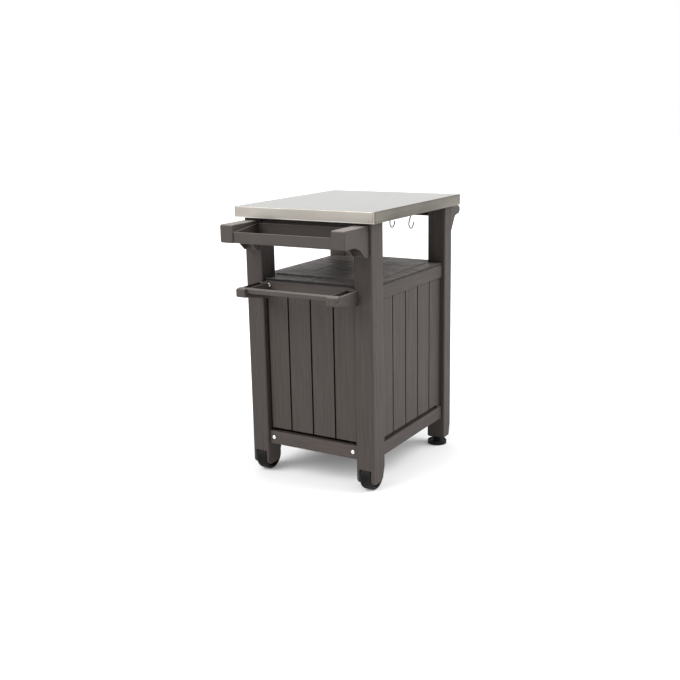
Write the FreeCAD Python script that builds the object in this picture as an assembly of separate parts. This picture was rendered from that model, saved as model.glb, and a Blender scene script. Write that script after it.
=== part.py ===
import FreeCAD, Part
import math
import os
from FreeCAD import Vector

# Grill cart with storage, millimetres, +Z up, standing on its wheels and feet at Z = 0.
# +X is the end with the wheels and the tray, +Y the closed long side, -Y the side with the doors.
# The pieces are laid out about the middle of the worktop and moved at the end, so that the
# origin is the middle of the whole cart's outline on the floor.

# Worktop
TOP_HEIGHT = 900.0
TOP_LENGTH = 618.0
TOP_DEPTH = 514.0
RIM_HEIGHT = 35.5
SHEET_GAUGE = 1.0
RIM_CORNER = 6.0
RIM_EDGE = 2.5
HEM_WIDTH = 9.0
BOARD_GAP = 0.5
BOARD_PLATE = 4.0
BOARD_SKIRT = 4.0
BOARD_RIB = 3.0
BOARD_RIB_PITCH = 72.0
RIB_SETBACK = 3.0

# Frame
TOP_OVERHANG_X = 21.0
TOP_OVERHANG_Y = 23.0
WHEEL_LEG_X = 75.0
WHEEL_LEG_Y = 64.0
FOOT_LEG_X = 56.0
FOOT_LEG_Y = 66.0
LEG_WALL = 3.5
LEG_CORNER = 5.0
RAIL_RECESS = 10.0
RAIL_WEB = 4.0
RAIL_LEDGE = 48.0
RAIL_SEAT = 20.0
RAIL_EDGE = 2.0
UPPER_RAIL_BOTTOM = 618.0
UPPER_RAIL_HEIGHT = 42.0
LOWER_RAIL_BOTTOM = 103.0
LOWER_RAIL_HEIGHT = 45.0
FLOOR_SEAT = 15.0
TOP_RAIL_HEIGHT = 40.0
TOP_RAIL_DEPTH = 18.0
TOP_RAIL_RECESS = 8.0

# Cabinet
PANEL_RECESS = 16.5
PANEL_THICKNESS = 14.0
PLANK_GROOVE = 6.0
PLANK_GROOVE_BASE = 4.0
PLANK_GROOVE_DEPTH = 6.0
PLANK_SKIN = 3.5
PLANK_RIB = 5.0
PLANK_BORDER = 20.0
POCKET_PITCH = 116.0
BACK_PLANKS = 5
END_PLANKS = 4
VENT_HEIGHT = 10.0
VENT_INSET = 27.0
FLOOR_THICKNESS = 14.0
FIT_GAP = 0.5
DECK_THICKNESS = 8.0
DECK_FIELD = 3.0
DECK_FIELD_INSET_X = 77.0
DECK_FIELD_INSET_Y = 48.0
DECK_EDGE = 2.5
DECK_GROOVES = 3
DECK_GROOVE = 4.0
DECK_GROOVE_DEPTH = 1.5
DECK_GROOVE_PITCH = 85.0
DECK_PLANKS_INSET = 168.0
SHELF_HEIGHT = 380.0
SHELF_THICKNESS = 14.0
SHELF_SKIN = 3.0
SHELF_RIB_PITCH = 70.0
SHELF_GAP = 2.0
CLEAT_DEPTH = 30.0
CLEAT_REACH = 16.0
CLEAT_HEIGHT = 18.0
CLEAT_LIP = 6.0

# Doors
DOOR_THICKNESS = 16.0
DOOR_RECESS = 12.0
DOOR_GAP = 3.0
DOOR_LEG_GAP = 1.5
DOOR_PIN_RADIUS = 3.9
DOOR_PIN_LENGTH = 20.0
DOOR_PIN_GRIP = 13.0
RUNNING_GAP = 0.06
DOOR_PLANKS = 3
DOOR_ROUND_MARGIN = 0.05
PIN_FLANGE = 30.0
PULL_LENGTH = 96.0
PULL_ROD = 5.0
PULL_STANDOFF = 24.0
PULL_BEND = 10.0
PULL_EDGE_INSET = 30.0
PULL_HEIGHT = 480.0
CATCH_LENGTH = 46.0
CATCH_DEPTH = 10.0
CATCH_HEIGHT = 14.0

# Wheels
WHEEL_RADIUS = 48.0
WHEEL_WIDTH = 39.0
WHEEL_SHOULDER = 7.0
WHEEL_INSET = 32.0
WHEEL_DISH = 8.0
WHEEL_DISH_RADIUS = 37.0
WHEEL_HUB_RADIUS = 13.0
AXLE_RADIUS = 5.0
AXLE_SEAT = 9.0
FORK_GAP = 2.5
FORK_SIDE_GAP = 0.5
CHEEK_BELOW_AXLE = 22.0
CHEEK_TAPER_RISE = 26.0
CHEEK_TAPER = 14.0
CHEEK_ROUND = 18.0
FORK_ROOF = 12.0

# Feet
FOOT_RADIUS = 34.0
FOOT_HEIGHT = 13.0
FOOT_RIM = 3.0
FOOT_RIM_WIDTH = 4.0
FOOT_NECK_RADIUS = 11.0
FOOT_EDGE = 2.0
STUD_RADIUS = 5.0
STUD_LENGTH = 46.0
STUD_GRIP = 8.0
FOOT_INSET = 15.0
FOOT_NECK_FLARE = 4.0
FOOT_NECK_GAP = 1.5
FOOT_LEG_RISE = 11.0
FOOT_LEG_TAPER_TOP = 90.0
FOOT_LEG_TAPER = 14.0
FOOT_LEG_CHAMFER = 4.5
FOOT_LEG_PLUG = 44.0

# Condiment tray and its arms
TRAY_PROJECTION = 140.0
TRAY_ARM_SETBACK = 7.0
TRAY_ARM_EDGE = 9.0
TRAY_TOP_DROP = 8.5
TRAY_DEPTH = 57.5
TRAY_ARM_ROOT_DEPTH = 94.0
TRAY_ARM_KNEE_REACH = 48.0
TRAY_ARM_KNEE_DROP = 10.0
TRAY_ARM_KNEE_RUN = 30.0
TRAY_ARM_FOOT_REACH = 18.0
TRAY_ARM_WALL = 3.5
TRAY_ARM_ROUND = 7.0
TRAY_WALL = 3.0
TRAY_FRONT_INSET = 5.0
TRAY_FRONT_DROP = 22.0
TRAY_BACK_DROP = 9.0
TRAY_SIDE_RUN = 9.0
TRAY_LIP = 4.0
TRAY_ROUND = 8.0

# Towel bar and its arms
HOLDER_PROJECTION = 128.0
HOLDER_INBOARD = 22.0
HOLDER_OUTBOARD = 14.0
HOLDER_TOP_DROP = 4.0
HOLDER_FRONT_DEPTH = 27.5
HOLDER_ROOT_DEPTH = 51.0
HOLDER_WALL = 4.0
HOLDER_ROUND = 5.0
BAR_INSET = 22.0
BAR_WIDTH = 20.0
BAR_HEIGHT = 16.0
BAR_ROUND = 5.0
BAR_GAP = 0.3
BAR_END_GAP = 2.0
BAR_COLLAR = 2.0

# Pull handle
PULL_BAR_REACH = 62.0
PULL_BAR_DROP = 22.5
PULL_BAR_RADIUS = 14.0
PULL_BRACKET_INSET = 28.0
PULL_BRACKET_WIDTH = 24.0
PULL_BRACKET_RADIUS = 15.0
PULL_BRACKET_ROOT_DROP = 80.0
PULL_BRACKET_KNEE_REACH = 37.0
PULL_BRACKET_KNEE_DROP = 20.0
PULL_BRACKET_KNEE_ROUND = 12.0
PULL_BRACKET_EDGE = 1.5
PULL_SPIGOT_RADIUS = 8.0
PULL_SPIGOT_LENGTH = 12.0
SPIGOT_GAP = 0.1

# Hooks and the bar that they hang on
HOOK_WIRE = 1.75
HOOK_UPPER = 9.0
HOOK_LOWER = 16.0
HOOK_SPREAD = 46.0
HOOK_TIP_ANGLE = 15.0
HOOK_SEAT_GAP = 0.3
HOOK_EDGE_INSET = 36.0
HOOK_SPACING = 69.0
HOOK_BAR_WIDTH = 5.0
HOOK_BAR_HEIGHT = 8.5
HOOK_BAR_DROP = 14.6
HOOK_WINDOW = 8.0
HOOK_WINDOW_LENGTH = 54.0

# Fasteners
BOLT_RADIUS = 3.0
BOLT_HEAD_RADIUS = 7.0
BOLT_HEAD = 4.0
BOLT_HEAD_BEVEL = 1.5
BOLT_LENGTH = 18.0
BOLT_HOLE_GAP = 0.2
BOLT_INSET = 17.0
LOWER_BOLT_RISE = 24.0
UPPER_BOLT_RISE = 29.0
BOLT_CLEARANCE = 1.5

# Working allowances: how far a cutter passes a face, and how near counts as on a face
CUT_OVERRUN = 1.0
ON_FACE = 0.01

RIM_BOTTOM = TOP_HEIGHT - RIM_HEIGHT
BOARD_BOTTOM = RIM_BOTTOM + SHEET_GAUGE
BOARD_TOP = TOP_HEIGHT - SHEET_GAUGE
LEG_TOP = BOARD_TOP - BOARD_PLATE
LEG_OUTER_X = TOP_LENGTH / 2 - TOP_OVERHANG_X
LEG_OUTER_Y = TOP_DEPTH / 2 - TOP_OVERHANG_Y
LEG_IN_X = LEG_OUTER_X - WHEEL_LEG_X
LEG_IN_Y = LEG_OUTER_Y - WHEEL_LEG_Y
FOOT_LEG_IN_X = LEG_OUTER_X - FOOT_LEG_X
FOOT_LEG_IN_Y = LEG_OUTER_Y - FOOT_LEG_Y
RAIL_FACE_X = LEG_OUTER_X - RAIL_RECESS
RAIL_FACE_Y = LEG_OUTER_Y - RAIL_RECESS
PANEL_FACE_X = LEG_OUTER_X - PANEL_RECESS
PANEL_FACE_Y = LEG_OUTER_Y - PANEL_RECESS
UPPER_RAIL_TOP = UPPER_RAIL_BOTTOM + UPPER_RAIL_HEIGHT
LOWER_RAIL_TOP = LOWER_RAIL_BOTTOM + LOWER_RAIL_HEIGHT
FLOOR_BOTTOM = LOWER_RAIL_BOTTOM + FLOOR_SEAT + RAIL_WEB
TRAY_REACH = LEG_OUTER_X + TRAY_PROJECTION
PULL_BAR_X = -(LEG_OUTER_X + PULL_BAR_REACH)
PULL_REACH = PULL_BAR_X - PULL_BRACKET_RADIUS
CENTRE_SHIFT = -(TRAY_REACH + PULL_REACH) / 2
OPENING_MIDDLE = (LEG_IN_X - FOOT_LEG_IN_X) / 2
DOOR_FACE = LEG_OUTER_Y - DOOR_RECESS
DOOR_AXIS_Y = -(DOOR_FACE - DOOR_THICKNESS / 2)
DOOR_BOTTOM = LOWER_RAIL_TOP + DOOR_GAP
DOOR_TOP = UPPER_RAIL_BOTTOM - DOOR_GAP
DOOR_AXIS_INSET = DOOR_LEG_GAP + DOOR_THICKNESS / 2
WHEEL_X = LEG_IN_X + WHEEL_INSET
WHEEL_Y = (LEG_IN_Y + LEG_OUTER_Y) / 2
CHEEK_BOTTOM = WHEEL_RADIUS - CHEEK_BELOW_AXLE
CHEEK_TAPER_TOP = WHEEL_RADIUS + CHEEK_TAPER_RISE
FOOT_X = -(FOOT_LEG_IN_X + FOOT_INSET)
FOOT_Y = (FOOT_LEG_IN_Y + LEG_OUTER_Y) / 2
FOOT_LEG_BOTTOM = FOOT_HEIGHT + FOOT_LEG_RISE
TRAY_ARM_INNER = LEG_IN_Y + TRAY_ARM_SETBACK
TRAY_ARM_OUTER = LEG_OUTER_Y - TRAY_ARM_EDGE
TRAY_ARM_TOP = RIM_BOTTOM - TRAY_TOP_DROP
TRAY_ARM_BOTTOM = TRAY_ARM_TOP - TRAY_DEPTH
TRAY_ARM_ROOT = TRAY_ARM_TOP - TRAY_ARM_ROOT_DEPTH
TRAY_ARM_KNEE_X = LEG_OUTER_X + TRAY_ARM_KNEE_REACH
TRAY_ARM_FOOT_X = LEG_OUTER_X + TRAY_ARM_FOOT_REACH
TRAY_FRONT_TOP = TRAY_ARM_TOP - TRAY_FRONT_DROP
TRAY_BACK_TOP = TRAY_ARM_TOP - TRAY_BACK_DROP
HOLDER_REACH = LEG_OUTER_X + HOLDER_PROJECTION
HOLDER_INNER = LEG_IN_Y - HOLDER_INBOARD
HOLDER_OUTER = LEG_IN_Y + HOLDER_OUTBOARD
HOLDER_TOP = UPPER_RAIL_TOP - HOLDER_TOP_DROP
HOLDER_FRONT_BOTTOM = HOLDER_TOP - HOLDER_FRONT_DEPTH
HOLDER_ROOT_BOTTOM = HOLDER_TOP - HOLDER_ROOT_DEPTH
BAR_X = HOLDER_REACH - BAR_INSET
PULL_BAR_Z = RIM_BOTTOM - PULL_BAR_DROP
PULL_BRACKET_INNER = LEG_OUTER_Y - PULL_BRACKET_INSET
PULL_BRACKET_ROOT = PULL_BAR_Z - PULL_BRACKET_ROOT_DROP
PULL_BRACKET_KNEE_X = -(LEG_OUTER_X + PULL_BRACKET_KNEE_REACH)
PULL_BRACKET_KNEE_Z = PULL_BAR_Z - PULL_BRACKET_KNEE_DROP
HOOK_BAR_TOP = TOP_HEIGHT - SHEET_GAUGE - HOOK_BAR_DROP
HOOK_OUTER_Y = TOP_DEPTH / 2 - HOOK_EDGE_INSET
HOOK_PLACES = [HOOK_OUTER_Y - HOOK_SPACING, HOOK_OUTER_Y]
BOLT_Y = LEG_IN_Y - BOLT_INSET
UP = Vector(0, 0, 1)
ACROSS = Vector(0, 1, 0)
ORIGIN = Vector(0, 0, 0)


def block(x, y, z):
    """A box between the two ends given for each axis."""
    low = Vector(min(x), min(y), min(z))
    return Part.makeBox(abs(x[1] - x[0]), abs(y[1] - y[0]), abs(z[1] - z[0]), low)


def prism_y(points, y):
    """A side outline of (x, z) corners, pushed out between two Y values."""
    corners = [Vector(px, y[0], pz) for px, pz in points]
    face = Part.Face(Part.makePolygon(corners + corners[:1]))
    return face.extrude(Vector(0, y[1] - y[0], 0))


def edges_along(shape, axis, test=None):
    """The straight edges of a shape that run along an axis and pass a test of their middle."""
    found = []
    for edge in shape.Edges:
        start = edge.Vertexes[0].Point
        end = edge.Vertexes[-1].Point
        run = end - start
        if run.Length < 1e-6 or abs(run.normalize().dot(axis)) < 0.999:
            continue
        if test is None or test(edge.CenterOfMass):
            found.append(edge)
    return found


def soften(shape, radius, axis, test=None):
    """Rounds the straight edges that run along an axis."""
    return shape.makeFillet(radius, edges_along(shape, axis, test))


def mirrored(shape):
    """The same piece on the other long side."""
    return shape.mirror(ORIGIN, ACROSS)


def turned(shape, degrees):
    """The piece turned about the upright axis in the middle of the cart."""
    copy = shape.copy()
    copy.rotate(ORIGIN, UP, degrees)
    return copy


def cylinder_y(radius, x, y, z):
    """A round bar along Y between two Y values."""
    return Part.makeCylinder(radius, y[1] - y[0], Vector(x, y[0], z), ACROSS)


def worktop_sheet():
    """The folded steel sheet: a shallow tray upside down with a hem turned in below."""
    half_x = TOP_LENGTH / 2
    half_y = TOP_DEPTH / 2
    outer = block((-half_x, half_x), (-half_y, half_y), (RIM_BOTTOM, TOP_HEIGHT))
    outer = soften(outer, RIM_CORNER, UP)
    top_edges = [e for e in outer.Edges if e.CenterOfMass.z > TOP_HEIGHT - ON_FACE]
    outer = outer.makeFillet(RIM_EDGE, top_edges)
    inner = block(
        (-half_x + SHEET_GAUGE, half_x - SHEET_GAUGE),
        (-half_y + SHEET_GAUGE, half_y - SHEET_GAUGE),
        (BOARD_BOTTOM, BOARD_TOP),
    )
    inner = soften(inner, RIM_CORNER - SHEET_GAUGE, UP)
    mouth = block(
        (-half_x + HEM_WIDTH, half_x - HEM_WIDTH),
        (-half_y + HEM_WIDTH, half_y - HEM_WIDTH),
        (RIM_BOTTOM - CUT_OVERRUN, BOARD_BOTTOM + CUT_OVERRUN),
    )
    return outer.cut(inner).cut(mouth)


def hook_bar(inner_y):
    """The rib across the middle of the board, with windows that leave a bar for the hooks."""
    half = HOOK_BAR_WIDTH / 2
    rib = block((-half, half), (-inner_y, inner_y), (HOOK_BAR_TOP - HOOK_BAR_HEIGHT, LEG_TOP))
    low = HOOK_BAR_TOP - half
    for place in HOOK_PLACES + [-place for place in HOOK_PLACES]:
        reach = (place - HOOK_WINDOW_LENGTH / 2, place + HOOK_WINDOW_LENGTH / 2)
        rib = rib.cut(block((-half, half), reach, (low, HOOK_BAR_TOP + HOOK_WINDOW)))
        rib = rib.fuse(cylinder_y(half, 0, reach, low))
    return rib.removeSplitter()


def evenly(low, high):
    """Rib places between two main ribs, so that no pocket is wider than the rib pitch."""
    count = int((high - low) // BOARD_RIB_PITCH) + 1
    return [low + (high - low) * step / count for step in range(1, count)]


def worktop_board():
    """The moulded board under the sheet: a plate, a skirt on the hem, and stiffening ribs."""
    half_x = TOP_LENGTH / 2 - SHEET_GAUGE - BOARD_GAP
    half_y = TOP_DEPTH / 2 - SHEET_GAUGE - BOARD_GAP
    inner_x = half_x - BOARD_SKIRT
    inner_y = half_y - BOARD_SKIRT
    board = block((-half_x, half_x), (-half_y, half_y), (BOARD_BOTTOM, BOARD_TOP))
    board = soften(board, RIM_CORNER - SHEET_GAUGE, UP)
    board = board.cut(block((-inner_x, inner_x), (-inner_y, inner_y), (BOARD_BOTTOM, LEG_TOP)))
    half_rib = BOARD_RIB / 2
    depth = (BOARD_BOTTOM, LEG_TOP)
    side_y = min(LEG_IN_Y, FOOT_LEG_IN_Y) - RIB_SETBACK - half_rib
    near_wheels = LEG_IN_X - RIB_SETBACK - half_rib
    near_feet = -(FOOT_LEG_IN_X - RIB_SETBACK - half_rib)
    across = [near_feet, near_wheels] + evenly(near_feet, 0) + evenly(0, near_wheels)
    along = [-side_y, side_y] + evenly(-side_y, side_y)
    ribs = [hook_bar(inner_y)]
    for place in across:
        ribs.append(block((place - half_rib, place + half_rib), (-inner_y, inner_y), depth))
    for place in along:
        ribs.append(block((-inner_x, inner_x), (place - half_rib, place + half_rib), depth))
    return board.fuse(ribs).removeSplitter()


def wheel_leg():
    """A leg at the wheel end, hollow above and forked below round its wheel."""
    outline = [
        (LEG_IN_X, LEG_TOP),
        (LEG_IN_X, CHEEK_TAPER_TOP),
        (LEG_IN_X + CHEEK_TAPER, CHEEK_BOTTOM),
        (LEG_OUTER_X, CHEEK_BOTTOM),
        (LEG_OUTER_X, LEG_TOP),
    ]
    leg = prism_y(outline, (LEG_IN_Y, LEG_OUTER_Y))
    leg = soften(leg, CHEEK_ROUND, ACROSS, lambda m: m.z < CHEEK_BOTTOM + ON_FACE)
    leg = soften(leg, LEG_CORNER, UP, lambda m: m.z > CHEEK_TAPER_TOP)
    fork_radius = WHEEL_RADIUS + FORK_GAP
    half = WHEEL_WIDTH / 2 + FORK_SIDE_GAP
    fork = cylinder_y(fork_radius, WHEEL_X, (WHEEL_Y - half, WHEEL_Y + half), WHEEL_RADIUS)
    fork = fork.makeFillet(WHEEL_SHOULDER, fork.Edges[0:1] + fork.Edges[2:3])
    leg = leg.cut(fork)
    hollow = block(
        (LEG_IN_X + LEG_WALL, LEG_OUTER_X - LEG_WALL),
        (LEG_IN_Y + LEG_WALL, LEG_OUTER_Y - LEG_WALL),
        (WHEEL_RADIUS + fork_radius + FORK_ROOF, LEG_TOP),
    )
    hollow = soften(hollow, LEG_CORNER - LEG_WALL, UP)
    leg = leg.cut(hollow)
    return leg.cut(axle())


def axle():
    """The steel pin that the wheel turns on, seated in both cheeks."""
    reach = WHEEL_WIDTH / 2 + FORK_SIDE_GAP + AXLE_SEAT
    return cylinder_y(AXLE_RADIUS, WHEEL_X, (WHEEL_Y - reach, WHEEL_Y + reach), WHEEL_RADIUS)


def wheel():
    """A moulded wheel with rounded shoulders and dished sides round a hub."""
    half = WHEEL_WIDTH / 2
    body = cylinder_y(WHEEL_RADIUS, 0, (-half, half), 0)
    body = body.makeFillet(WHEEL_SHOULDER, body.Edges[0:1] + body.Edges[2:3])
    for side in (-1, 1):
        ends = sorted((side * half, side * (half - WHEEL_DISH)))
        dish = cylinder_y(WHEEL_DISH_RADIUS, 0, ends, 0)
        hub = cylinder_y(WHEEL_HUB_RADIUS, 0, ends, 0)
        body = body.cut(dish.cut(hub))
    body = body.cut(cylinder_y(AXLE_RADIUS + RUNNING_GAP, 0, (-half, half), 0))
    body.translate(Vector(WHEEL_X, WHEEL_Y, WHEEL_RADIUS))
    return body


def foot_leg():
    """A leg at the handle end, hollow above a plug that takes the levelling foot's stud."""
    outline = [
        (-LEG_OUTER_X, LEG_TOP),
        (-LEG_OUTER_X, FOOT_LEG_TAPER_TOP),
        (-LEG_OUTER_X + FOOT_LEG_TAPER, FOOT_LEG_BOTTOM),
        (-FOOT_LEG_IN_X, FOOT_LEG_BOTTOM),
        (-FOOT_LEG_IN_X, LEG_TOP),
    ]
    leg = prism_y(outline, (FOOT_LEG_IN_Y, LEG_OUTER_Y))
    leg = leg.makeFillet(LEG_CORNER, edges_along(leg, UP))
    low = [e for e in leg.Edges if e.BoundBox.ZMax < FOOT_LEG_BOTTOM + ON_FACE]
    leg = leg.makeChamfer(FOOT_LEG_CHAMFER, low)
    plug_top = FOOT_LEG_BOTTOM + FOOT_LEG_PLUG
    taper = FOOT_LEG_TAPER
    hollow = block(
        (-LEG_OUTER_X + LEG_WALL + taper, -FOOT_LEG_IN_X - LEG_WALL),
        (FOOT_LEG_IN_Y + LEG_WALL, LEG_OUTER_Y - LEG_WALL),
        (plug_top, LEG_TOP),
    )
    leg = leg.cut(soften(hollow, LEG_CORNER - LEG_WALL, UP))
    bore = Part.makeCylinder(STUD_RADIUS + RUNNING_GAP, FOOT_LEG_PLUG + 2 * CUT_OVERRUN,
                             Vector(FOOT_X, FOOT_Y, FOOT_LEG_BOTTOM - CUT_OVERRUN))
    return leg.cut(bore)


def levelling_foot():
    """The round foot: a disc with a raised rim and a neck moulded round the stud."""
    disc = Part.makeCylinder(FOOT_RADIUS, FOOT_HEIGHT, Vector(FOOT_X, FOOT_Y, 0))
    disc = disc.makeChamfer(FOOT_EDGE, [disc.Edges[0], disc.Edges[2]])
    recess = Part.makeCylinder(FOOT_RADIUS - FOOT_RIM_WIDTH, FOOT_RIM + CUT_OVERRUN,
                               Vector(FOOT_X, FOOT_Y, FOOT_HEIGHT - FOOT_RIM))
    neck_base = FOOT_HEIGHT - FOOT_RIM
    neck_height = FOOT_LEG_BOTTOM - FOOT_NECK_GAP - neck_base
    neck = Part.makeCone(FOOT_NECK_RADIUS + FOOT_NECK_FLARE, FOOT_NECK_RADIUS, neck_height,
                         Vector(FOOT_X, FOOT_Y, neck_base))
    return disc.cut(recess).fuse(neck).cut(levelling_stud()).removeSplitter()


def levelling_stud():
    """The steel stud of a levelling foot, without its thread."""
    start = FOOT_HEIGHT - STUD_GRIP
    return Part.makeCylinder(STUD_RADIUS, STUD_GRIP + STUD_LENGTH, Vector(FOOT_X, FOOT_Y, start))


def rail(ends, face, heights, flanges):
    """A moulded rail on the +Y side: an upright web with flanges inward from it."""
    shape = block(ends, (face - RAIL_WEB, face), heights)
    for bottom, depth in flanges:
        shape = shape.fuse(block(ends, (face - depth, face), (bottom, bottom + RAIL_WEB)))
    shape = shape.removeSplitter()
    outer = edges_along(shape, Vector(1, 0, 0), lambda m: m.y > face - ON_FACE)
    return shape.makeFillet(RAIL_EDGE, outer)


def upper_rail(ends, face, with_pin_flange=False):
    flanges = [(UPPER_RAIL_TOP - RAIL_WEB, RAIL_LEDGE)]
    if with_pin_flange:
        flanges.append((UPPER_RAIL_BOTTOM, PIN_FLANGE))
    return rail(ends, face, (UPPER_RAIL_BOTTOM, UPPER_RAIL_TOP), flanges)


def lower_rail(ends, face, seat=RAIL_SEAT):
    flanges = [
        (LOWER_RAIL_TOP - RAIL_WEB, seat),
        (FLOOR_BOTTOM - RAIL_WEB, RAIL_LEDGE),
    ]
    return rail(ends, face, (LOWER_RAIL_BOTTOM, LOWER_RAIL_TOP), flanges)


def top_rail(side):
    """The board across an end between the leg tops, under the worktop's ribs."""
    outer = side * (LEG_OUTER_X - TOP_RAIL_RECESS)
    inner_y = LEG_IN_Y if side > 0 else FOOT_LEG_IN_Y
    shape = block((outer - side * TOP_RAIL_DEPTH, outer), (-inner_y, inner_y),
                  (BOARD_BOTTOM - TOP_RAIL_HEIGHT, BOARD_BOTTOM))
    hollow = block((outer - side * TOP_RAIL_DEPTH, outer - side * RAIL_WEB),
                   (-inner_y + RAIL_WEB, inner_y - RAIL_WEB),
                   (BOARD_BOTTOM - TOP_RAIL_HEIGHT + RAIL_WEB, BOARD_BOTTOM - RAIL_WEB))
    shape = shape.cut(hollow)
    return soften(shape, RAIL_EDGE, ACROSS, lambda m: side * m.x > side * outer - ON_FACE)


def groove_cutter(place, face, heights):
    """What one groove between two planks takes away, narrower at its base."""
    mouth = PLANK_GROOVE / 2
    base = PLANK_GROOVE_BASE / 2
    deep = face - PLANK_GROOVE_DEPTH
    corners = [
        Vector(place - mouth, face + ON_FACE, heights[0]),
        Vector(place - base, deep, heights[0]),
        Vector(place + base, deep, heights[0]),
        Vector(place + mouth, face + ON_FACE, heights[0]),
    ]
    return Part.Face(Part.makePolygon(corners + corners[:1])).extrude(
        Vector(0, 0, heights[1] - heights[0]))


def plank_pockets(lines, face, heights, thickness):
    """The pockets in the inner face, one column behind each plank, with ribs between them."""
    low = heights[0] + PLANK_BORDER
    high = heights[1] - PLANK_BORDER
    rows = int((high - low) // POCKET_PITCH) + 1
    step = (high - low) / rows
    pockets = []
    for left, right in zip(lines, lines[1:]):
        for row in range(rows):
            start = low + row * step
            pockets.append(block(
                (left + PLANK_RIB, right - PLANK_RIB),
                (face - thickness, face - PLANK_SKIN),
                (start + PLANK_RIB / 2, start + step - PLANK_RIB / 2)))
    return pockets


def plank_panel(ends, face, heights, thickness, planks):
    """A moulded panel on the +Y side: grooves between upright planks and a ribbed inner face."""
    width = (ends[1] - ends[0]) / planks
    lines = [ends[0] + step * width for step in range(planks + 1)]
    border = PLANK_BORDER - PLANK_RIB
    inner_lines = [lines[0] + border] + lines[1:-1] + [lines[-1] - border]
    shape = block(ends, (face - thickness, face), heights)
    for place in lines[1:-1]:
        shape = shape.cut(groove_cutter(place, face, heights))
    return shape.cut(plank_pockets(inner_lines, face, heights, thickness))


def fixed_panel(ends, face, planks):
    """A panel that stands on the lower rail on two tabs, with a slot for air between them."""
    heights = (LOWER_RAIL_TOP, UPPER_RAIL_TOP - RAIL_WEB)
    panel = plank_panel(ends, face, heights, PANEL_THICKNESS, planks)
    slot = block((ends[0] + VENT_INSET, ends[1] - VENT_INSET), (face - PANEL_THICKNESS, face),
                 (LOWER_RAIL_TOP, LOWER_RAIL_TOP + VENT_HEIGHT))
    return panel.cut(slot)


def cross_plate(end_x, end_y, side_x, side_y, heights):
    """A plate notched at its four corners round the legs."""
    long_part = block((-end_x, end_x), (-end_y, end_y), heights)
    wide_part = block(side_x, (-side_y, side_y), heights)
    return long_part.fuse(wide_part).removeSplitter()


def cabinet_deck():
    """The roof of the cabinet: a plate on the upper rails with a raised field of planks."""
    inner_y = min(LEG_IN_Y, FOOT_LEG_IN_Y) - FIT_GAP
    side_x = (-FOOT_LEG_IN_X + FIT_GAP, LEG_IN_X - FIT_GAP)
    deck_top = UPPER_RAIL_TOP + DECK_THICKNESS
    deck = cross_plate(RAIL_FACE_X, inner_y, side_x, RAIL_FACE_Y, (UPPER_RAIL_TOP, deck_top))
    rim = [e for e in deck.Edges if e.BoundBox.ZMin > deck_top - ON_FACE
           and (abs(abs(e.CenterOfMass.y) - RAIL_FACE_Y) < ON_FACE
                or abs(abs(e.CenterOfMass.x) - RAIL_FACE_X) < ON_FACE)]
    deck = deck.makeFillet(DECK_EDGE, rim)
    field_x = RAIL_FACE_X - DECK_FIELD_INSET_X
    field_y = RAIL_FACE_Y - DECK_FIELD_INSET_Y
    field_top = deck_top + DECK_FIELD
    field = block((-field_x, field_x), (-field_y, field_y), (deck_top, field_top))
    upper = [e for e in field.Edges if e.BoundBox.ZMin > field_top - ON_FACE]
    deck = deck.fuse(field.makeChamfer(DECK_FIELD / 2, upper))
    planks_x = RAIL_FACE_X - DECK_PLANKS_INSET
    field_cut = (field_top - DECK_GROOVE_DEPTH, field_top)
    for step in range(DECK_GROOVES):
        middle = (step - (DECK_GROOVES - 1) / 2) * DECK_GROOVE_PITCH
        strip = (middle - DECK_GROOVE / 2, middle + DECK_GROOVE / 2)
        deck = deck.cut(block((-planks_x, planks_x), strip, field_cut))
    for side in (-1, 1):
        line = sorted((side * planks_x, side * (planks_x + DECK_GROOVE)))
        deck = deck.cut(block(line, (-field_y, field_y), field_cut))
        seam = sorted((side * field_x, side * RAIL_FACE_X))
        deck = deck.cut(block(seam, (-DECK_GROOVE / 2, DECK_GROOVE / 2),
                              (deck_top - DECK_GROOVE_DEPTH, deck_top)))
    return deck.removeSplitter()


def cabinet_floor():
    """The floor of the cabinet, laid on the ledges of the lower rails."""
    panel_in_x = PANEL_FACE_X - PANEL_THICKNESS
    panel_in_y = PANEL_FACE_Y - PANEL_THICKNESS
    inner_y = min(LEG_IN_Y, FOOT_LEG_IN_Y) - FIT_GAP
    side_x = (-FOOT_LEG_IN_X + FIT_GAP, LEG_IN_X - FIT_GAP)
    floor = cross_plate(panel_in_x, inner_y, side_x, panel_in_y,
                        (FLOOR_BOTTOM, FLOOR_BOTTOM + FLOOR_THICKNESS))
    pocket_x = PANEL_FACE_X - RAIL_LEDGE
    pocket_y = PANEL_FACE_Y - RAIL_LEDGE
    pocket_x = min(pocket_x, LEG_IN_X - FIT_GAP - BOARD_RIB)
    cells_x = int(2 * pocket_x // SHELF_RIB_PITCH) + 1
    cells_y = int(2 * pocket_y // SHELF_RIB_PITCH) + 1
    cell_x = 2 * pocket_x / cells_x
    cell_y = 2 * pocket_y / cells_y
    for column in range(cells_x):
        for row in range(cells_y):
            x = -pocket_x + column * cell_x
            y = -pocket_y + row * cell_y
            floor = floor.cut(block((x + BOARD_RIB, x + cell_x), (y + BOARD_RIB, y + cell_y),
                                    (FLOOR_BOTTOM, FLOOR_BOTTOM + FLOOR_THICKNESS - SHELF_SKIN)))
    return floor


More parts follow.
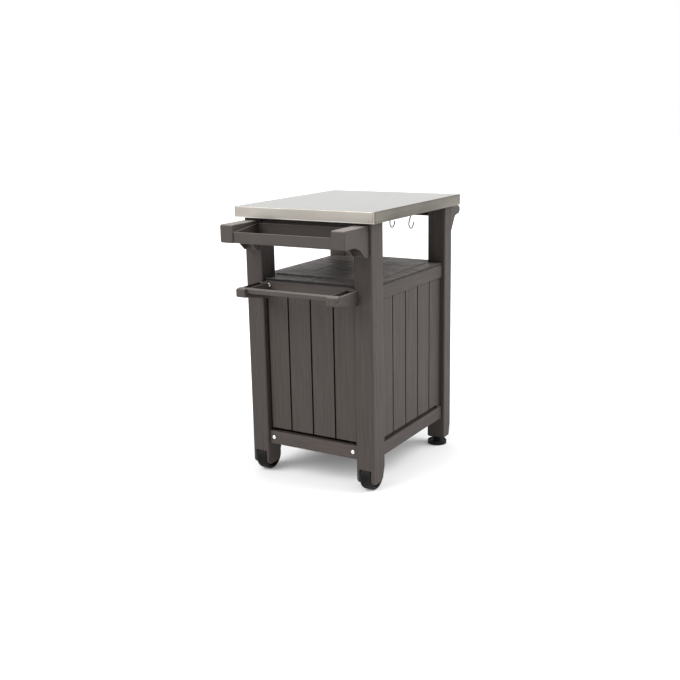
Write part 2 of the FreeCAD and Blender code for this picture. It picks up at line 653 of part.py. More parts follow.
def inner_shelf():
    """The loose shelf inside, a skin over stiffening ribs, laid on the four cleats."""
    x = (-FOOT_LEG_IN_X + SHELF_GAP, LEG_IN_X - SHELF_GAP)
    depth = PANEL_FACE_Y - PANEL_THICKNESS - SHELF_GAP
    y = (DOOR_AXIS_Y + DOOR_THICKNESS / 2 + CATCH_DEPTH + SHELF_GAP, depth)
    shelf = block(x, y, (SHELF_HEIGHT, SHELF_HEIGHT + SHELF_THICKNESS))
    columns = int((x[1] - x[0]) // SHELF_RIB_PITCH) + 1
    rows = int((y[1] - y[0]) // SHELF_RIB_PITCH) + 1
    cell_x = (x[1] - x[0] - BOARD_RIB) / columns
    cell_y = (y[1] - y[0] - BOARD_RIB) / rows
    for column in range(columns):
        for row in range(rows):
            left = x[0] + column * cell_x
            near = y[0] + row * cell_y
            shelf = shelf.cut(block((left + BOARD_RIB, left + cell_x),
                                    (near + BOARD_RIB, near + cell_y),
                                    (SHELF_HEIGHT, SHELF_HEIGHT + SHELF_THICKNESS - SHELF_SKIN)))
    return shelf


def shelf_cleats():
    """Four small brackets on the legs' inner faces under the shelf."""
    cleats = []
    for inner_x, out, inner_y in ((LEG_IN_X, 1, LEG_IN_Y), (-FOOT_LEG_IN_X, -1, FOOT_LEG_IN_Y)):
        near = inner_y + LEG_CORNER
        outline = [
            (inner_x, SHELF_HEIGHT),
            (inner_x - out * CLEAT_REACH, SHELF_HEIGHT),
            (inner_x - out * CLEAT_REACH, SHELF_HEIGHT - CLEAT_LIP),
            (inner_x, SHELF_HEIGHT - CLEAT_HEIGHT),
        ]
        far = min(near + CLEAT_DEPTH, PANEL_FACE_Y - PANEL_THICKNESS - FIT_GAP)
        cleat = prism_y(outline, (near, far))
        cleats.append(cleat)
        front_far = -(DOOR_AXIS_Y + DOOR_THICKNESS / 2 + SHELF_GAP)
        cleats.append(mirrored(prism_y(outline, (near, min(far, front_far)))))
    return Part.makeCompound(cleats)


def door(side):
    """One door: plank grooves outside, a rounded hinge edge and bores for its two pins."""
    hinge = (LEG_IN_X if side > 0 else -FOOT_LEG_IN_X) - side * DOOR_LEG_GAP
    free = OPENING_MIDDLE + side * DOOR_GAP / 2
    ends = (min(hinge, free), max(hinge, free))
    panel = plank_panel((-ends[1], -ends[0]), DOOR_FACE, (DOOR_BOTTOM, DOOR_TOP),
                        DOOR_THICKNESS, DOOR_PLANKS)
    panel = turned(panel, 180)
    round_edge = DOOR_THICKNESS / 2 - DOOR_ROUND_MARGIN
    panel = soften(panel, round_edge, UP, lambda m: abs(m.x - hinge) < ON_FACE)
    panel = soften(panel, RAIL_EDGE, UP, lambda m: abs(m.x - free) < ON_FACE and m.y < DOOR_AXIS_Y)
    for pin in door_pins(side).Solids:
        panel = panel.cut(pin)
    return panel


def door_axis_x(side):
    return (LEG_IN_X if side > 0 else -FOOT_LEG_IN_X) - side * DOOR_AXIS_INSET


def door_pins(side):
    """The two steel pins of a door, each held in the door and turning in a rail."""
    x = door_axis_x(side)
    lower = Part.makeCylinder(DOOR_PIN_RADIUS, DOOR_PIN_LENGTH,
                              Vector(x, DOOR_AXIS_Y, DOOR_BOTTOM + DOOR_PIN_GRIP - DOOR_PIN_LENGTH))
    upper = Part.makeCylinder(DOOR_PIN_RADIUS, DOOR_PIN_LENGTH,
                              Vector(x, DOOR_AXIS_Y, DOOR_TOP - DOOR_PIN_GRIP))
    return Part.makeCompound([lower, upper])


def pin_bore(side, flange_bottom):
    """The running bore for a door pin through one flange of a front rail."""
    start = Vector(door_axis_x(side), DOOR_AXIS_Y, flange_bottom - CUT_OVERRUN)
    return Part.makeCylinder(DOOR_PIN_RADIUS + RUNNING_GAP, RAIL_WEB + 2 * CUT_OVERRUN, start)


def door_pull(side):
    """A bowed pull for the fingers on a door's free edge."""
    x = OPENING_MIDDLE + side * PULL_EDGE_INSET
    face = -DOOR_FACE
    out = face - PULL_STANDOFF
    low = PULL_HEIGHT - PULL_LENGTH / 2
    high = PULL_HEIGHT + PULL_LENGTH / 2
    r = PULL_BEND
    turn = r * (1 - math.sqrt(0.5))
    path = Part.Wire([
        Part.makeLine(Vector(x, face, low), Vector(x, out + r, low)),
        Part.Arc(Vector(x, out + r, low), Vector(x, out + turn, low + turn),
                 Vector(x, out, low + r)).toShape(),
        Part.makeLine(Vector(x, out, low + r), Vector(x, out, high - r)),
        Part.Arc(Vector(x, out, high - r), Vector(x, out + turn, high - turn),
                 Vector(x, out + r, high)).toShape(),
        Part.makeLine(Vector(x, out + r, high), Vector(x, face, high)),
    ])
    section = Part.Wire(Part.makeCircle(PULL_ROD, Vector(x, face, low), Vector(0, -1, 0)))
    return path.makePipeShell([section], True, False)


def door_catch():
    """The stop that both doors close against, under the front rail."""
    back = DOOR_AXIS_Y + DOOR_THICKNESS / 2 + FIT_GAP
    shape = block((OPENING_MIDDLE - CATCH_LENGTH / 2, OPENING_MIDDLE + CATCH_LENGTH / 2),
                  (back, back + CATCH_DEPTH), (UPPER_RAIL_BOTTOM - CATCH_HEIGHT, UPPER_RAIL_BOTTOM))
    return soften(shape, RAIL_EDGE, UP)


def tray_arm():
    """An arm of the tray: a moulded bracket with a curved gusset, hollow from below."""
    outline = [
        (LEG_OUTER_X, TRAY_ARM_TOP),
        (LEG_OUTER_X, TRAY_ARM_ROOT),
        (TRAY_ARM_FOOT_X, TRAY_ARM_ROOT),
        (TRAY_ARM_KNEE_X, TRAY_ARM_BOTTOM - TRAY_ARM_KNEE_DROP),
        (TRAY_ARM_KNEE_X + TRAY_ARM_KNEE_RUN, TRAY_ARM_BOTTOM),
        (TRAY_REACH, TRAY_ARM_BOTTOM),
        (TRAY_REACH, TRAY_ARM_TOP),
    ]
    arm = prism_y(outline, (TRAY_ARM_INNER, TRAY_ARM_OUTER))
    arm = soften(arm, TRAY_ARM_ROUND, ACROSS,
                 lambda m: m.x > TRAY_REACH - ON_FACE or abs(m.x - TRAY_ARM_FOOT_X) < ON_FACE)
    arm = soften(arm, TRAY_ARM_ROUND / 2, UP, lambda m: m.x > TRAY_REACH - ON_FACE)
    wall = TRAY_ARM_WALL
    hollow = block((LEG_OUTER_X + 2 * wall, TRAY_REACH - 2 * wall),
                   (TRAY_ARM_INNER + wall, TRAY_ARM_OUTER - wall),
                   (TRAY_ARM_ROOT - CUT_OVERRUN, TRAY_ARM_TOP - wall))
    middle = (LEG_OUTER_X + TRAY_REACH) / 2
    rib = block((middle - wall / 2, middle + wall / 2), (TRAY_ARM_INNER, TRAY_ARM_OUTER),
                (TRAY_ARM_BOTTOM, TRAY_ARM_TOP))
    return arm.cut(hollow.cut(rib))


def condiment_tray():
    """The open tray between the arms, with a low front, a high back and a lip on the top rail."""
    x = (LEG_OUTER_X, TRAY_REACH - TRAY_FRONT_INSET)
    outline = [
        (x[0], TRAY_ARM_BOTTOM),
        (x[0], TRAY_BACK_TOP),
        (x[0] + TRAY_SIDE_RUN, TRAY_BACK_TOP),
        (x[1] - TRAY_SIDE_RUN, TRAY_FRONT_TOP),
        (x[1], TRAY_FRONT_TOP),
        (x[1], TRAY_ARM_BOTTOM),
    ]
    tray = prism_y(outline, (-TRAY_ARM_INNER, TRAY_ARM_INNER))
    tray = soften(tray, TRAY_ROUND, ACROSS,
                  lambda m: m.z < TRAY_ARM_BOTTOM + ON_FACE and m.x > x[1] - ON_FACE)
    inside = block((x[0] + TRAY_WALL, x[1] - TRAY_WALL),
                   (-TRAY_ARM_INNER + TRAY_WALL, TRAY_ARM_INNER - TRAY_WALL),
                   (TRAY_ARM_BOTTOM + TRAY_WALL, TRAY_BACK_TOP + CUT_OVERRUN))
    inside = inside.makeFillet(TRAY_ROUND - TRAY_WALL,
                               [e for e in inside.Edges if e.CenterOfMass.z < TRAY_BACK_TOP])
    lip_y = LEG_IN_Y - FIT_GAP
    lip = block((x[0] - TOP_RAIL_RECESS, x[0]), (-lip_y, lip_y),
                (TRAY_BACK_TOP - TRAY_LIP, TRAY_BACK_TOP))
    return tray.cut(inside).fuse(lip).removeSplitter()


def holder_arm():
    """An arm of the towel bar: an open channel that deepens towards the leg."""
    outline = [
        (LEG_OUTER_X, HOLDER_TOP),
        (LEG_OUTER_X, HOLDER_ROOT_BOTTOM),
        (HOLDER_REACH, HOLDER_FRONT_BOTTOM),
        (HOLDER_REACH, HOLDER_TOP),
    ]
    arm = prism_y(outline, (HOLDER_INNER, HOLDER_OUTER))
    arm = soften(arm, HOLDER_ROUND, ACROSS, lambda m: m.x > HOLDER_REACH - ON_FACE)
    arm = soften(arm, HOLDER_ROUND, UP, lambda m: m.x > HOLDER_REACH - ON_FACE)
    wall = HOLDER_WALL
    inner = [
        (LEG_OUTER_X + wall, HOLDER_TOP + CUT_OVERRUN),
        (LEG_OUTER_X + wall, HOLDER_ROOT_BOTTOM + 2 * wall),
        (HOLDER_REACH - wall, HOLDER_FRONT_BOTTOM + 2 * wall),
        (HOLDER_REACH - wall, HOLDER_TOP + CUT_OVERRUN),
    ]
    arm = arm.cut(prism_y(inner, (HOLDER_INNER + wall, HOLDER_OUTER - wall)))
    pad_start = BOLT_Y + BOLT_HEAD_RADIUS + BOLT_CLEARANCE
    root = block((RAIL_FACE_X, LEG_OUTER_X), (pad_start, LEG_IN_Y - FIT_GAP),
                 (UPPER_RAIL_BOTTOM + RAIL_EDGE, HOLDER_TOP))
    arm = arm.fuse(root).removeSplitter()
    half = BAR_WIDTH / 2 + BAR_GAP
    seat = block((BAR_X - half, BAR_X + half), (HOLDER_INNER, HOLDER_OUTER),
                 (HOLDER_TOP - BAR_HEIGHT - BAR_GAP, HOLDER_TOP + CUT_OVERRUN))
    seat = soften(seat, BAR_ROUND, ACROSS, lambda m: m.z < HOLDER_TOP - BAR_HEIGHT)
    wide = half + BAR_END_GAP
    slot = block((BAR_X - wide, BAR_X + wide), (HOLDER_OUTER - wall, HOLDER_OUTER),
                 (HOLDER_TOP - BAR_HEIGHT - BAR_GAP - BAR_END_GAP, HOLDER_TOP + CUT_OVERRUN))
    slot = soften(slot, BAR_ROUND, ACROSS, lambda m: m.z < HOLDER_TOP - BAR_HEIGHT)
    return arm.cut([seat, slot])


def towel_bar():
    """The bar that drops into the two arms, with a collar inside each arm."""
    section = (HOLDER_TOP - BAR_HEIGHT, HOLDER_TOP)
    half = BAR_WIDTH / 2
    bar = block((BAR_X - half, BAR_X + half), (-HOLDER_OUTER, HOLDER_OUTER), section)
    bar = soften(bar, BAR_ROUND, ACROSS)
    for side in (-1, 1):
        inner = side * (HOLDER_INNER + HOLDER_WALL + BAR_GAP)
        collar = block((BAR_X - half - BAR_COLLAR, BAR_X + half + BAR_COLLAR),
                       (inner, inner + side * HOLDER_WALL),
                       (section[0] + BAR_COLLAR, section[1]))
        bar = bar.fuse(soften(collar, BAR_ROUND, ACROSS))
    return bar.removeSplitter()


def pull_bracket():
    """A bracket of the pull handle, from the leg's outer face out to the bar."""
    top = PULL_BAR_Z + PULL_BRACKET_RADIUS
    y = (PULL_BRACKET_INNER, PULL_BRACKET_INNER + PULL_BRACKET_WIDTH)
    outline = [
        (-LEG_OUTER_X, top),
        (-LEG_OUTER_X, PULL_BRACKET_ROOT),
        (PULL_BRACKET_KNEE_X, PULL_BRACKET_KNEE_Z),
        (PULL_BAR_X, PULL_BAR_Z - PULL_BRACKET_RADIUS),
        (PULL_BAR_X, top),
    ]
    arm = prism_y(outline, y)
    arm = soften(arm, PULL_BRACKET_KNEE_ROUND, ACROSS,
                 lambda m: abs(m.x - PULL_BRACKET_KNEE_X) < ON_FACE)
    arm = arm.fuse(cylinder_y(PULL_BRACKET_RADIUS, PULL_BAR_X, y, PULL_BAR_Z)).removeSplitter()
    rim = [e for e in arm.Edges
           if e.BoundBox.YLength < ON_FACE and e.CenterOfMass.x < -LEG_OUTER_X - ON_FACE]
    arm = arm.makeChamfer(PULL_BRACKET_EDGE, rim)
    socket = cylinder_y(PULL_SPIGOT_RADIUS + SPIGOT_GAP, PULL_BAR_X,
                        (y[0], y[0] + PULL_SPIGOT_LENGTH + FIT_GAP), PULL_BAR_Z)
    return arm.cut(socket)


def pull_bar():
    """The round grip between the brackets, with a spigot into each."""
    reach = PULL_BRACKET_INNER
    spigot = reach + PULL_SPIGOT_LENGTH
    bar = cylinder_y(PULL_BAR_RADIUS, PULL_BAR_X, (-reach, reach), PULL_BAR_Z)
    return bar.fuse(cylinder_y(PULL_SPIGOT_RADIUS, PULL_BAR_X, (-spigot, spigot), PULL_BAR_Z))


def hook(place):
    """A bent wire hook: an arch over the bar, a slanting shank and a wide open loop below."""
    upper = Vector(0, place, HOOK_BAR_TOP + HOOK_SEAT_GAP + HOOK_WIRE - HOOK_UPPER)
    lower = Vector(0, place, upper.z - HOOK_SPREAD)
    slant = math.asin((HOOK_UPPER + HOOK_LOWER) / HOOK_SPREAD)

    def on(centre, radius, degrees):
        angle = math.radians(degrees)
        return centre + Vector(-radius * math.cos(angle), 0, radius * math.sin(angle))

    lean = math.degrees(slant)
    shank_top = on(upper, HOOK_UPPER, -lean)
    shank_low = on(lower, HOOK_LOWER, 180 - lean)
    path = Part.Wire([
        Part.Arc(on(upper, HOOK_UPPER, 180), on(upper, HOOK_UPPER, 90), shank_top).toShape(),
        Part.makeLine(shank_top, shank_low),
        Part.Arc(shank_low, on(lower, HOOK_LOWER, 270),
                 on(lower, HOOK_LOWER, 360 + HOOK_TIP_ANGLE)).toShape(),
    ])
    start = on(upper, HOOK_UPPER, 180)
    section = Part.Wire(Part.makeCircle(HOOK_WIRE, start, UP))
    return path.makePipeShell([section], True, False)


def bolt(place, z):
    """A bolt with a bevelled head on the wheel-end rail, its shank pointing inward."""
    x = RAIL_FACE_X
    head = Part.makeCylinder(BOLT_HEAD_RADIUS, BOLT_HEAD, Vector(x, place, z), Vector(1, 0, 0))
    dome = [e for e in head.Edges if e.CenterOfMass.x > x + BOLT_HEAD - ON_FACE]
    head = head.makeChamfer(BOLT_HEAD_BEVEL, dome)
    shank = Part.makeCylinder(BOLT_RADIUS, BOLT_LENGTH, Vector(x, place, z), Vector(-1, 0, 0))
    return head.fuse(shank).removeSplitter()


def bolt_places():
    """Where bolts stand on an end: near both ends of the lower and of the upper rail."""
    heights = (LOWER_RAIL_BOTTOM + LOWER_BOLT_RISE, UPPER_RAIL_BOTTOM + UPPER_BOLT_RISE)
    return [(side * BOLT_Y, z) for side in (-1, 1) for z in heights]


def end_bolts():
    return Part.makeCompound([bolt(place, z) for place, z in bolt_places()])


def drilled(shape):
    """The wheel-end piece with a clear hole for each bolt shank."""
    radius = BOLT_RADIUS + BOLT_HOLE_GAP
    for place, z in bolt_places():
        start = Vector(RAIL_FACE_X + CUT_OVERRUN, place, z)
        depth = BOLT_LENGTH + 2 * CUT_OVERRUN
        shape = shape.cut(Part.makeCylinder(radius, depth, start, Vector(-1, 0, 0)))
    return shape


def export(name, shape):
    placed = shape.copy()
    placed.translate(Vector(CENTRE_SHIFT, 0, 0))
    placed.exportStep("parts/" + name + ".step")
    print(name, len(placed.Solids), "solids", round(placed.Volume / 1000, 1), "cm3")


def build():
    os.makedirs("parts", exist_ok=True)
    long_ends = (-FOOT_LEG_IN_X, LEG_IN_X)
    front_ends = (-LEG_IN_X, FOOT_LEG_IN_X)
    wheel_ends = (-LEG_IN_Y, LEG_IN_Y)
    foot_ends = (-FOOT_LEG_IN_Y, FOOT_LEG_IN_Y)
    export("worktop_sheet", worktop_sheet())
    export("worktop_board", worktop_board())
    for name, piece in (("leg_wheel", wheel_leg()), ("leg_foot", foot_leg()), ("wheel", wheel()),
                        ("axle", axle()), ("levelling_foot", levelling_foot()),
                        ("levelling_stud", levelling_stud()), ("tray_arm", tray_arm()),
                        ("holder_arm", holder_arm()), ("pull_bracket", pull_bracket())):
        export(name + "_back", piece)
        export(name + "_front", mirrored(piece))
    export("top_rail_wheel_end", top_rail(1))
    export("top_rail_foot_end", top_rail(-1))
    export("upper_rail_back", upper_rail(long_ends, RAIL_FACE_Y))
    export("lower_rail_back", lower_rail(long_ends, RAIL_FACE_Y))
    front_upper = turned(upper_rail(front_ends, RAIL_FACE_Y, True), 180)
    front_lower = turned(lower_rail(front_ends, RAIL_FACE_Y, PIN_FLANGE), 180)
    for side in (-1, 1):
        front_upper = front_upper.cut(pin_bore(side, UPPER_RAIL_BOTTOM))
        front_lower = front_lower.cut(pin_bore(side, LOWER_RAIL_TOP - RAIL_WEB))
    export("upper_rail_front", front_upper)
    export("lower_rail_front", front_lower)
    export("upper_rail_wheel_end", drilled(turned(upper_rail(wheel_ends, RAIL_FACE_X), -90)))
    export("lower_rail_wheel_end", drilled(turned(lower_rail(wheel_ends, RAIL_FACE_X), -90)))
    export("upper_rail_foot_end", turned(upper_rail(foot_ends, RAIL_FACE_X), 90))
    export("lower_rail_foot_end", turned(lower_rail(foot_ends, RAIL_FACE_X), 90))
    export("panel_back", fixed_panel(long_ends, PANEL_FACE_Y, BACK_PLANKS))
    wheel_panel = fixed_panel(wheel_ends, PANEL_FACE_X, END_PLANKS)
    export("panel_wheel_end", drilled(turned(wheel_panel, -90)))
    foot_panel = fixed_panel(foot_ends, PANEL_FACE_X, END_PLANKS)
    export("panel_foot_end", turned(foot_panel, 90))
    export("cabinet_deck", cabinet_deck())
    export("cabinet_floor", cabinet_floor())
    export("inner_shelf", inner_shelf())
    export("shelf_cleats", shelf_cleats())
    for name, side in (("right", 1), ("left", -1)):
        export("door_" + name, door(side))
        export("door_pins_" + name, door_pins(side))
        export("door_pull_" + name, door_pull(side))
    export("door_catch", door_catch())
    export("condiment_tray", condiment_tray())
    export("towel_bar", towel_bar())
    export("pull_bar", pull_bar())
    export("hook_inner", hook(HOOK_PLACES[0]))
    export("hook_outer", hook(HOOK_PLACES[1]))
    export("end_bolts", end_bolts())


build()
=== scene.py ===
import math

import bmesh
import bpy
from mathutils import Matrix, Vector


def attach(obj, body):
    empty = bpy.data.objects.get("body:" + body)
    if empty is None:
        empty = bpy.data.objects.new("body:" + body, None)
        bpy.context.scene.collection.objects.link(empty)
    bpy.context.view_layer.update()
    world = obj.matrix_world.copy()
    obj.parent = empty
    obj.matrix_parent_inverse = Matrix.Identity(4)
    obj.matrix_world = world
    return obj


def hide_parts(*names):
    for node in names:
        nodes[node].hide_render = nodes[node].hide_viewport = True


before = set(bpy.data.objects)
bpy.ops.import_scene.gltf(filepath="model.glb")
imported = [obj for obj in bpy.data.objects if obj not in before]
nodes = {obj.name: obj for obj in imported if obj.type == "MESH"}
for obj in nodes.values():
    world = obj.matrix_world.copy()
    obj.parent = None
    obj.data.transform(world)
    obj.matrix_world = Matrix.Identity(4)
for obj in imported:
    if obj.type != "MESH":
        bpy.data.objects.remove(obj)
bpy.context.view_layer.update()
print("frame loaded:", len(nodes), "nodes")

# Sizes of pieces are in millimetres. Camera, studio, materials and wheel ribs are in metres
milli = 0.001

# Camera: where the photograph was taken from, with angles in degrees
photoView = {
    "place": (2.7627, 1.6346, 1.2098),
    "heading": 211.182,
    "tilt": -13.7226,
    "roll": -1.1167,
    "lens": 51.105,
    "sensor": 36.0,
}


def addCamera(view):
    heading = math.radians(view["heading"])
    tilt = math.radians(view["tilt"])
    roll = math.radians(view["roll"])
    forward = Vector((math.cos(heading) * math.cos(tilt), math.sin(heading) * math.cos(tilt), math.sin(tilt)))
    level = forward.cross(Vector((0, 0, 1))).normalized()
    upright = level.cross(forward)
    right = level * math.cos(roll) + upright * math.sin(roll)
    up = upright * math.cos(roll) - level * math.sin(roll)
    data = bpy.data.cameras.new("photoCamera")
    data.lens = view["lens"]
    data.sensor_width = view["sensor"]
    camera = bpy.data.objects.new("photoCamera", data)
    turn = Matrix((right, up, -forward)).transposed().to_4x4()
    camera.matrix_world = Matrix.Translation(view["place"]) @ turn
    bpy.context.scene.collection.objects.link(camera)
    bpy.context.scene.camera = camera


# Studio: a pale floor, a dim dome with a white horizon that the camera sees white all over, one very wide
# lamp overhead, a wide lamp off each seen side, and a weak one on the far side
studio = {
    "floorSize": 60.0,
    "floorColour": (0.72, 0.72, 0.72),
    "floorRoughness": 0.9,
    "floorGlow": 0.14,
    "domeStrength": 0.10,
    "horizonStrength": 1.0,
    "horizonTop": 0.11,
    "horizonFade": 0.06,
    "lamps": {
        "overheadLamp": {"direction": (0.15, 0.10, 1.0), "strength": 2.2, "spread": 120},
        "endLamp": {"direction": (0.72, -0.45, 0.70), "strength": 2.8, "spread": 45},
        "backLamp": {"direction": (-0.45, 0.70, 0.70), "strength": 2.6, "spread": 45},
        "farLamp": {"direction": (-0.80, -0.48, 0.42), "strength": 0.45, "spread": 50},
    },
}


def addFloor(look):
    bpy.ops.mesh.primitive_plane_add(size=look["floorSize"])
    floor = bpy.context.object
    floor.name = "studioFloor"
    paint = bpy.data.materials.new("studioFloor")
    paint.use_nodes = True
    shader = paint.node_tree.nodes["Principled BSDF"]
    shader.inputs["Base Color"].default_value = (*look["floorColour"], 1)
    shader.inputs["Roughness"].default_value = look["floorRoughness"]
    shader.inputs["Emission Color"].default_value = (1, 1, 1, 1)
    shader.inputs["Emission Strength"].default_value = look["floorGlow"]
    floor.data.materials.append(paint)


def addDome(look):
    world = bpy.data.worlds.new("studioDome")
    world.use_nodes = True
    tree = world.node_tree
    background = tree.nodes["Background"]
    background.inputs["Color"].default_value = (1, 1, 1, 1)
    heading = tree.nodes.new("ShaderNodeTexCoord")
    parts = tree.nodes.new("ShaderNodeSeparateXYZ")
    fade = tree.nodes.new("ShaderNodeMapRange")
    tree.links.new(heading.outputs["Generated"], parts.inputs[0])
    tree.links.new(parts.outputs[2], fade.inputs["Value"])
    fade.inputs["From Min"].default_value = look["horizonTop"]
    fade.inputs["From Max"].default_value = look["horizonTop"] + look["horizonFade"]
    fade.inputs["To Min"].default_value = look["horizonStrength"]
    fade.inputs["To Max"].default_value = look["domeStrength"]
    seen = tree.nodes.new("ShaderNodeLightPath")
    shown = tree.nodes.new("ShaderNodeMix")
    tree.links.new(seen.outputs["Is Camera Ray"], shown.inputs[0])
    tree.links.new(fade.outputs[0], shown.inputs[2])
    shown.inputs[3].default_value = look["horizonStrength"]
    tree.links.new(shown.outputs[0], background.inputs["Strength"])
    bpy.context.scene.world = world


lampDistance = 3


def addLamp(name, look):
    data = bpy.data.lights.new(name, "SUN")
    data.energy = look["strength"]
    data.angle = math.radians(look["spread"])
    lamp = bpy.data.objects.new(name, data)
    lamp.location = Vector(look["direction"]) * lampDistance
    lamp.rotation_euler = (-Vector(look["direction"])).to_track_quat("-Z", "Y").to_euler()
    bpy.context.scene.collection.objects.link(lamp)


def addStudio(look):
    addFloor(look)
    addDome(look)
    for name, lamp in look["lamps"].items():
        addLamp(name, lamp)
    bpy.context.scene.view_settings.view_transform = "Standard"


addCamera(photoView)
addStudio(studio)
print("camera and studio ready")


# A socket whose arithmetic adds Math nodes
class Wire:
    def __init__(self, tree, socket):
        self.tree = tree
        self.socket = socket

    def maths(self, operation, first, second):
        node = self.tree.nodes.new("ShaderNodeMath")
        node.operation = operation
        for slot, value in zip(node.inputs, (first, second)):
            connect(self.tree, slot, value)
        return Wire(self.tree, node.outputs[0])

    def __add__(self, other):
        return self.maths("ADD", self, other)

    def __radd__(self, other):
        return self.maths("ADD", other, self)

    def __sub__(self, other):
        return self.maths("SUBTRACT", self, other)

    def __rsub__(self, other):
        return self.maths("SUBTRACT", other, self)

    def __mul__(self, other):
        return self.maths("MULTIPLY", self, other)

    def __rmul__(self, other):
        return self.maths("MULTIPLY", other, self)


def connect(tree, slot, value):
    if isinstance(value, Wire):
        tree.links.new(value.socket, slot)
    elif isinstance(value, (tuple, list)) and slot.type == "RGBA" and len(value) == 3:
        slot.default_value = (*value, 1)
    else:
        slot.default_value = value


# A node tree under construction: its nodes come from one method
class Graph:
    family = "ShaderNode"

    def node(self, kind, settings=None, sockets=None, output=0):
        made = self.tree.nodes.new(kind if "Node" in kind else self.family + kind)
        for key, value in (settings or {}).items():
            if key == "stops":
                for stop, (place, shade) in zip(self.stopsFor(made, len(value)), value):
                    stop.position = place
                    stop.color = (shade, shade, shade, 1)
            else:
                setattr(made, key, value)
        for key, value in (sockets or {}).items():
            connect(self.tree, made.inputs[key], value)
        return Wire(self.tree, made.outputs[output])

    def stopsFor(self, ramp, count):
        while len(ramp.color_ramp.elements) < count:
            ramp.color_ramp.elements.new(0.5)
        return ramp.color_ramp.elements


# Cosines of the turned normal between which an edge fades in
edgeCosines = (0.99, 0.80)
edgeSamples = 4


class Finish(Graph):
    def __init__(self, name):
        self.material = bpy.data.materials.new(name)
        self.material.use_nodes = True
        self.tree = self.material.node_tree
        self.shader = self.tree.nodes["Principled BSDF"]

    def place(self):
        return self.node("TexCoord", output=3)

    def stretched(self, scale):
        return self.node("Mapping", sockets={"Vector": self.place(), "Scale": scale})

    def noise(self, place, scale, detail, roughness=0.55):
        return self.node("TexNoise", sockets={"Vector": place, "Scale": scale, "Detail": detail,
                                              "Roughness": roughness})

    def mix(self, factor, first, second):
        return self.node("Mix", {"data_type": "RGBA"}, {0: factor, 6: first, 7: second}, output=2)

    def ramp(self, factor, stops):
        return self.node("ValToRGB", {"stops": stops}, {"Fac": factor})

    def bump(self, height, depth, strength, normal=None):
        sockets = {"Height": height, "Distance": depth, "Strength": strength}
        if normal:
            sockets["Normal"] = normal
        return self.node("Bump", sockets=sockets)

    def axisOf(self, vector, axis):
        return self.node("SeparateXYZ", sockets={"Vector": vector}, output=axis)

    def facing(self, axis):
        return self.axisOf(self.node("NewGeometry", output=1), axis)

    def test(self, operation, first, second, third=0.5):
        return self.node("Math", {"operation": operation}, {0: first, 1: second, 2: third})

    def span(self, value, start, end, low=0.0, high=1.0):
        return self.node("MapRange", sockets={"Value": value, 1: start, 2: end, 3: low, 4: high})

    def softEdge(self, radius):
        return self.node("Bevel", {"samples": edgeSamples}, {"Radius": radius})

    # How far the softened edge turns away from the true surface: 1 along edges, 0 elsewhere
    def edgeMask(self, radius):
        turned = self.node("VectorMath", {"operation": "DOT_PRODUCT"},
                           {0: self.softEdge(radius), 1: self.node("NewGeometry", output=1)}, output=1)
        return self.span(turned, *edgeCosines)

    # Painted highlight: lighter along edges, where light catches them, by as much as the look says
    def paintEdgeHighlights(self, colour, look):
        return self.mix(self.edgeMask(look["edge"]) * look["highlightShare"], colour, look["paintedHighlight"])

    def wear(self, **sockets):
        for key, value in sockets.items():
            connect(self.tree, self.shader.inputs[key.replace("_", " ")], value)
        return self.material


# Moulded resin: a wood grain along one axis, uneven tone, and a fine stipple
resinTones = {
    "dark": (0.029, 0.0222, 0.0197),
    "light": (0.049, 0.0388, 0.0346),
    "grainLength": 7.0,
    "grainWidth": 260.0,
    "grainDepth": 0.0006,
    "grainRelief": 0.55,
    "grainStops": [(0.32, 0.0), (0.62, 1.0)],
    "grainShare": 0.55,
    "broadShare": 0.45,
    "broadness": 6,
    "stippleScale": 900.0,
    "stippleDepth": 0.00018,
    "stippleRelief": 0.5,
    "roughness": 0.54,
    "roughSwing": 0.12,
    "gloss": 0.28,
    # Painted shade in the grooves: its colour, and how far behind the outer face it starts, is full and ends
    "groove": (0.0018, 0.0015, 0.0014),
    "grooveStart": 0.0003,
    "grooveFull": 0.0012,
    "grooveEnd": 0.0075,
    # Painted highlight along edges: its colour, its share, and the radius of the softened edge
    "paintedHighlight": (0.115, 0.098, 0.090),
    "highlightShare": 0.6,
    "edge": 0.0012,
}

# Rails across the cart are painted a little lighter than the planks, arms and tray more so, standing in for
# the stronger light on their faces, with painted highlights on their edges
railTones = dict(resinTones, dark=(0.035, 0.0270, 0.0242), light=(0.059, 0.0470, 0.0425))
armTones = dict(resinTones, dark=(0.037, 0.0300, 0.0270), light=(0.064, 0.0530, 0.0480),
                paintedHighlight=(0.24, 0.215, 0.20), highlightShare=0.9, topHighlightShare=0.75, topRange=(0.45, 0.95), edge=0.0018,
                cloudScale=14.0, cloudShare=0.5, dotScale=520.0, dotStops=[(0.38, 0.0), (0.6, 1.0)],
                dotShare=0.4, dotDepth=0.0003, dotRelief=0.7, roughSwing=0.1)

# The cabinet's roof: the same resin with a coarser, deeper grain across the cart
deckTones = dict(resinTones, dark=(0.012, 0.0100, 0.0090), light=(0.150, 0.127, 0.115), grainLength=16.0,
                 grainWidth=62.0, grainDepth=0.0022)
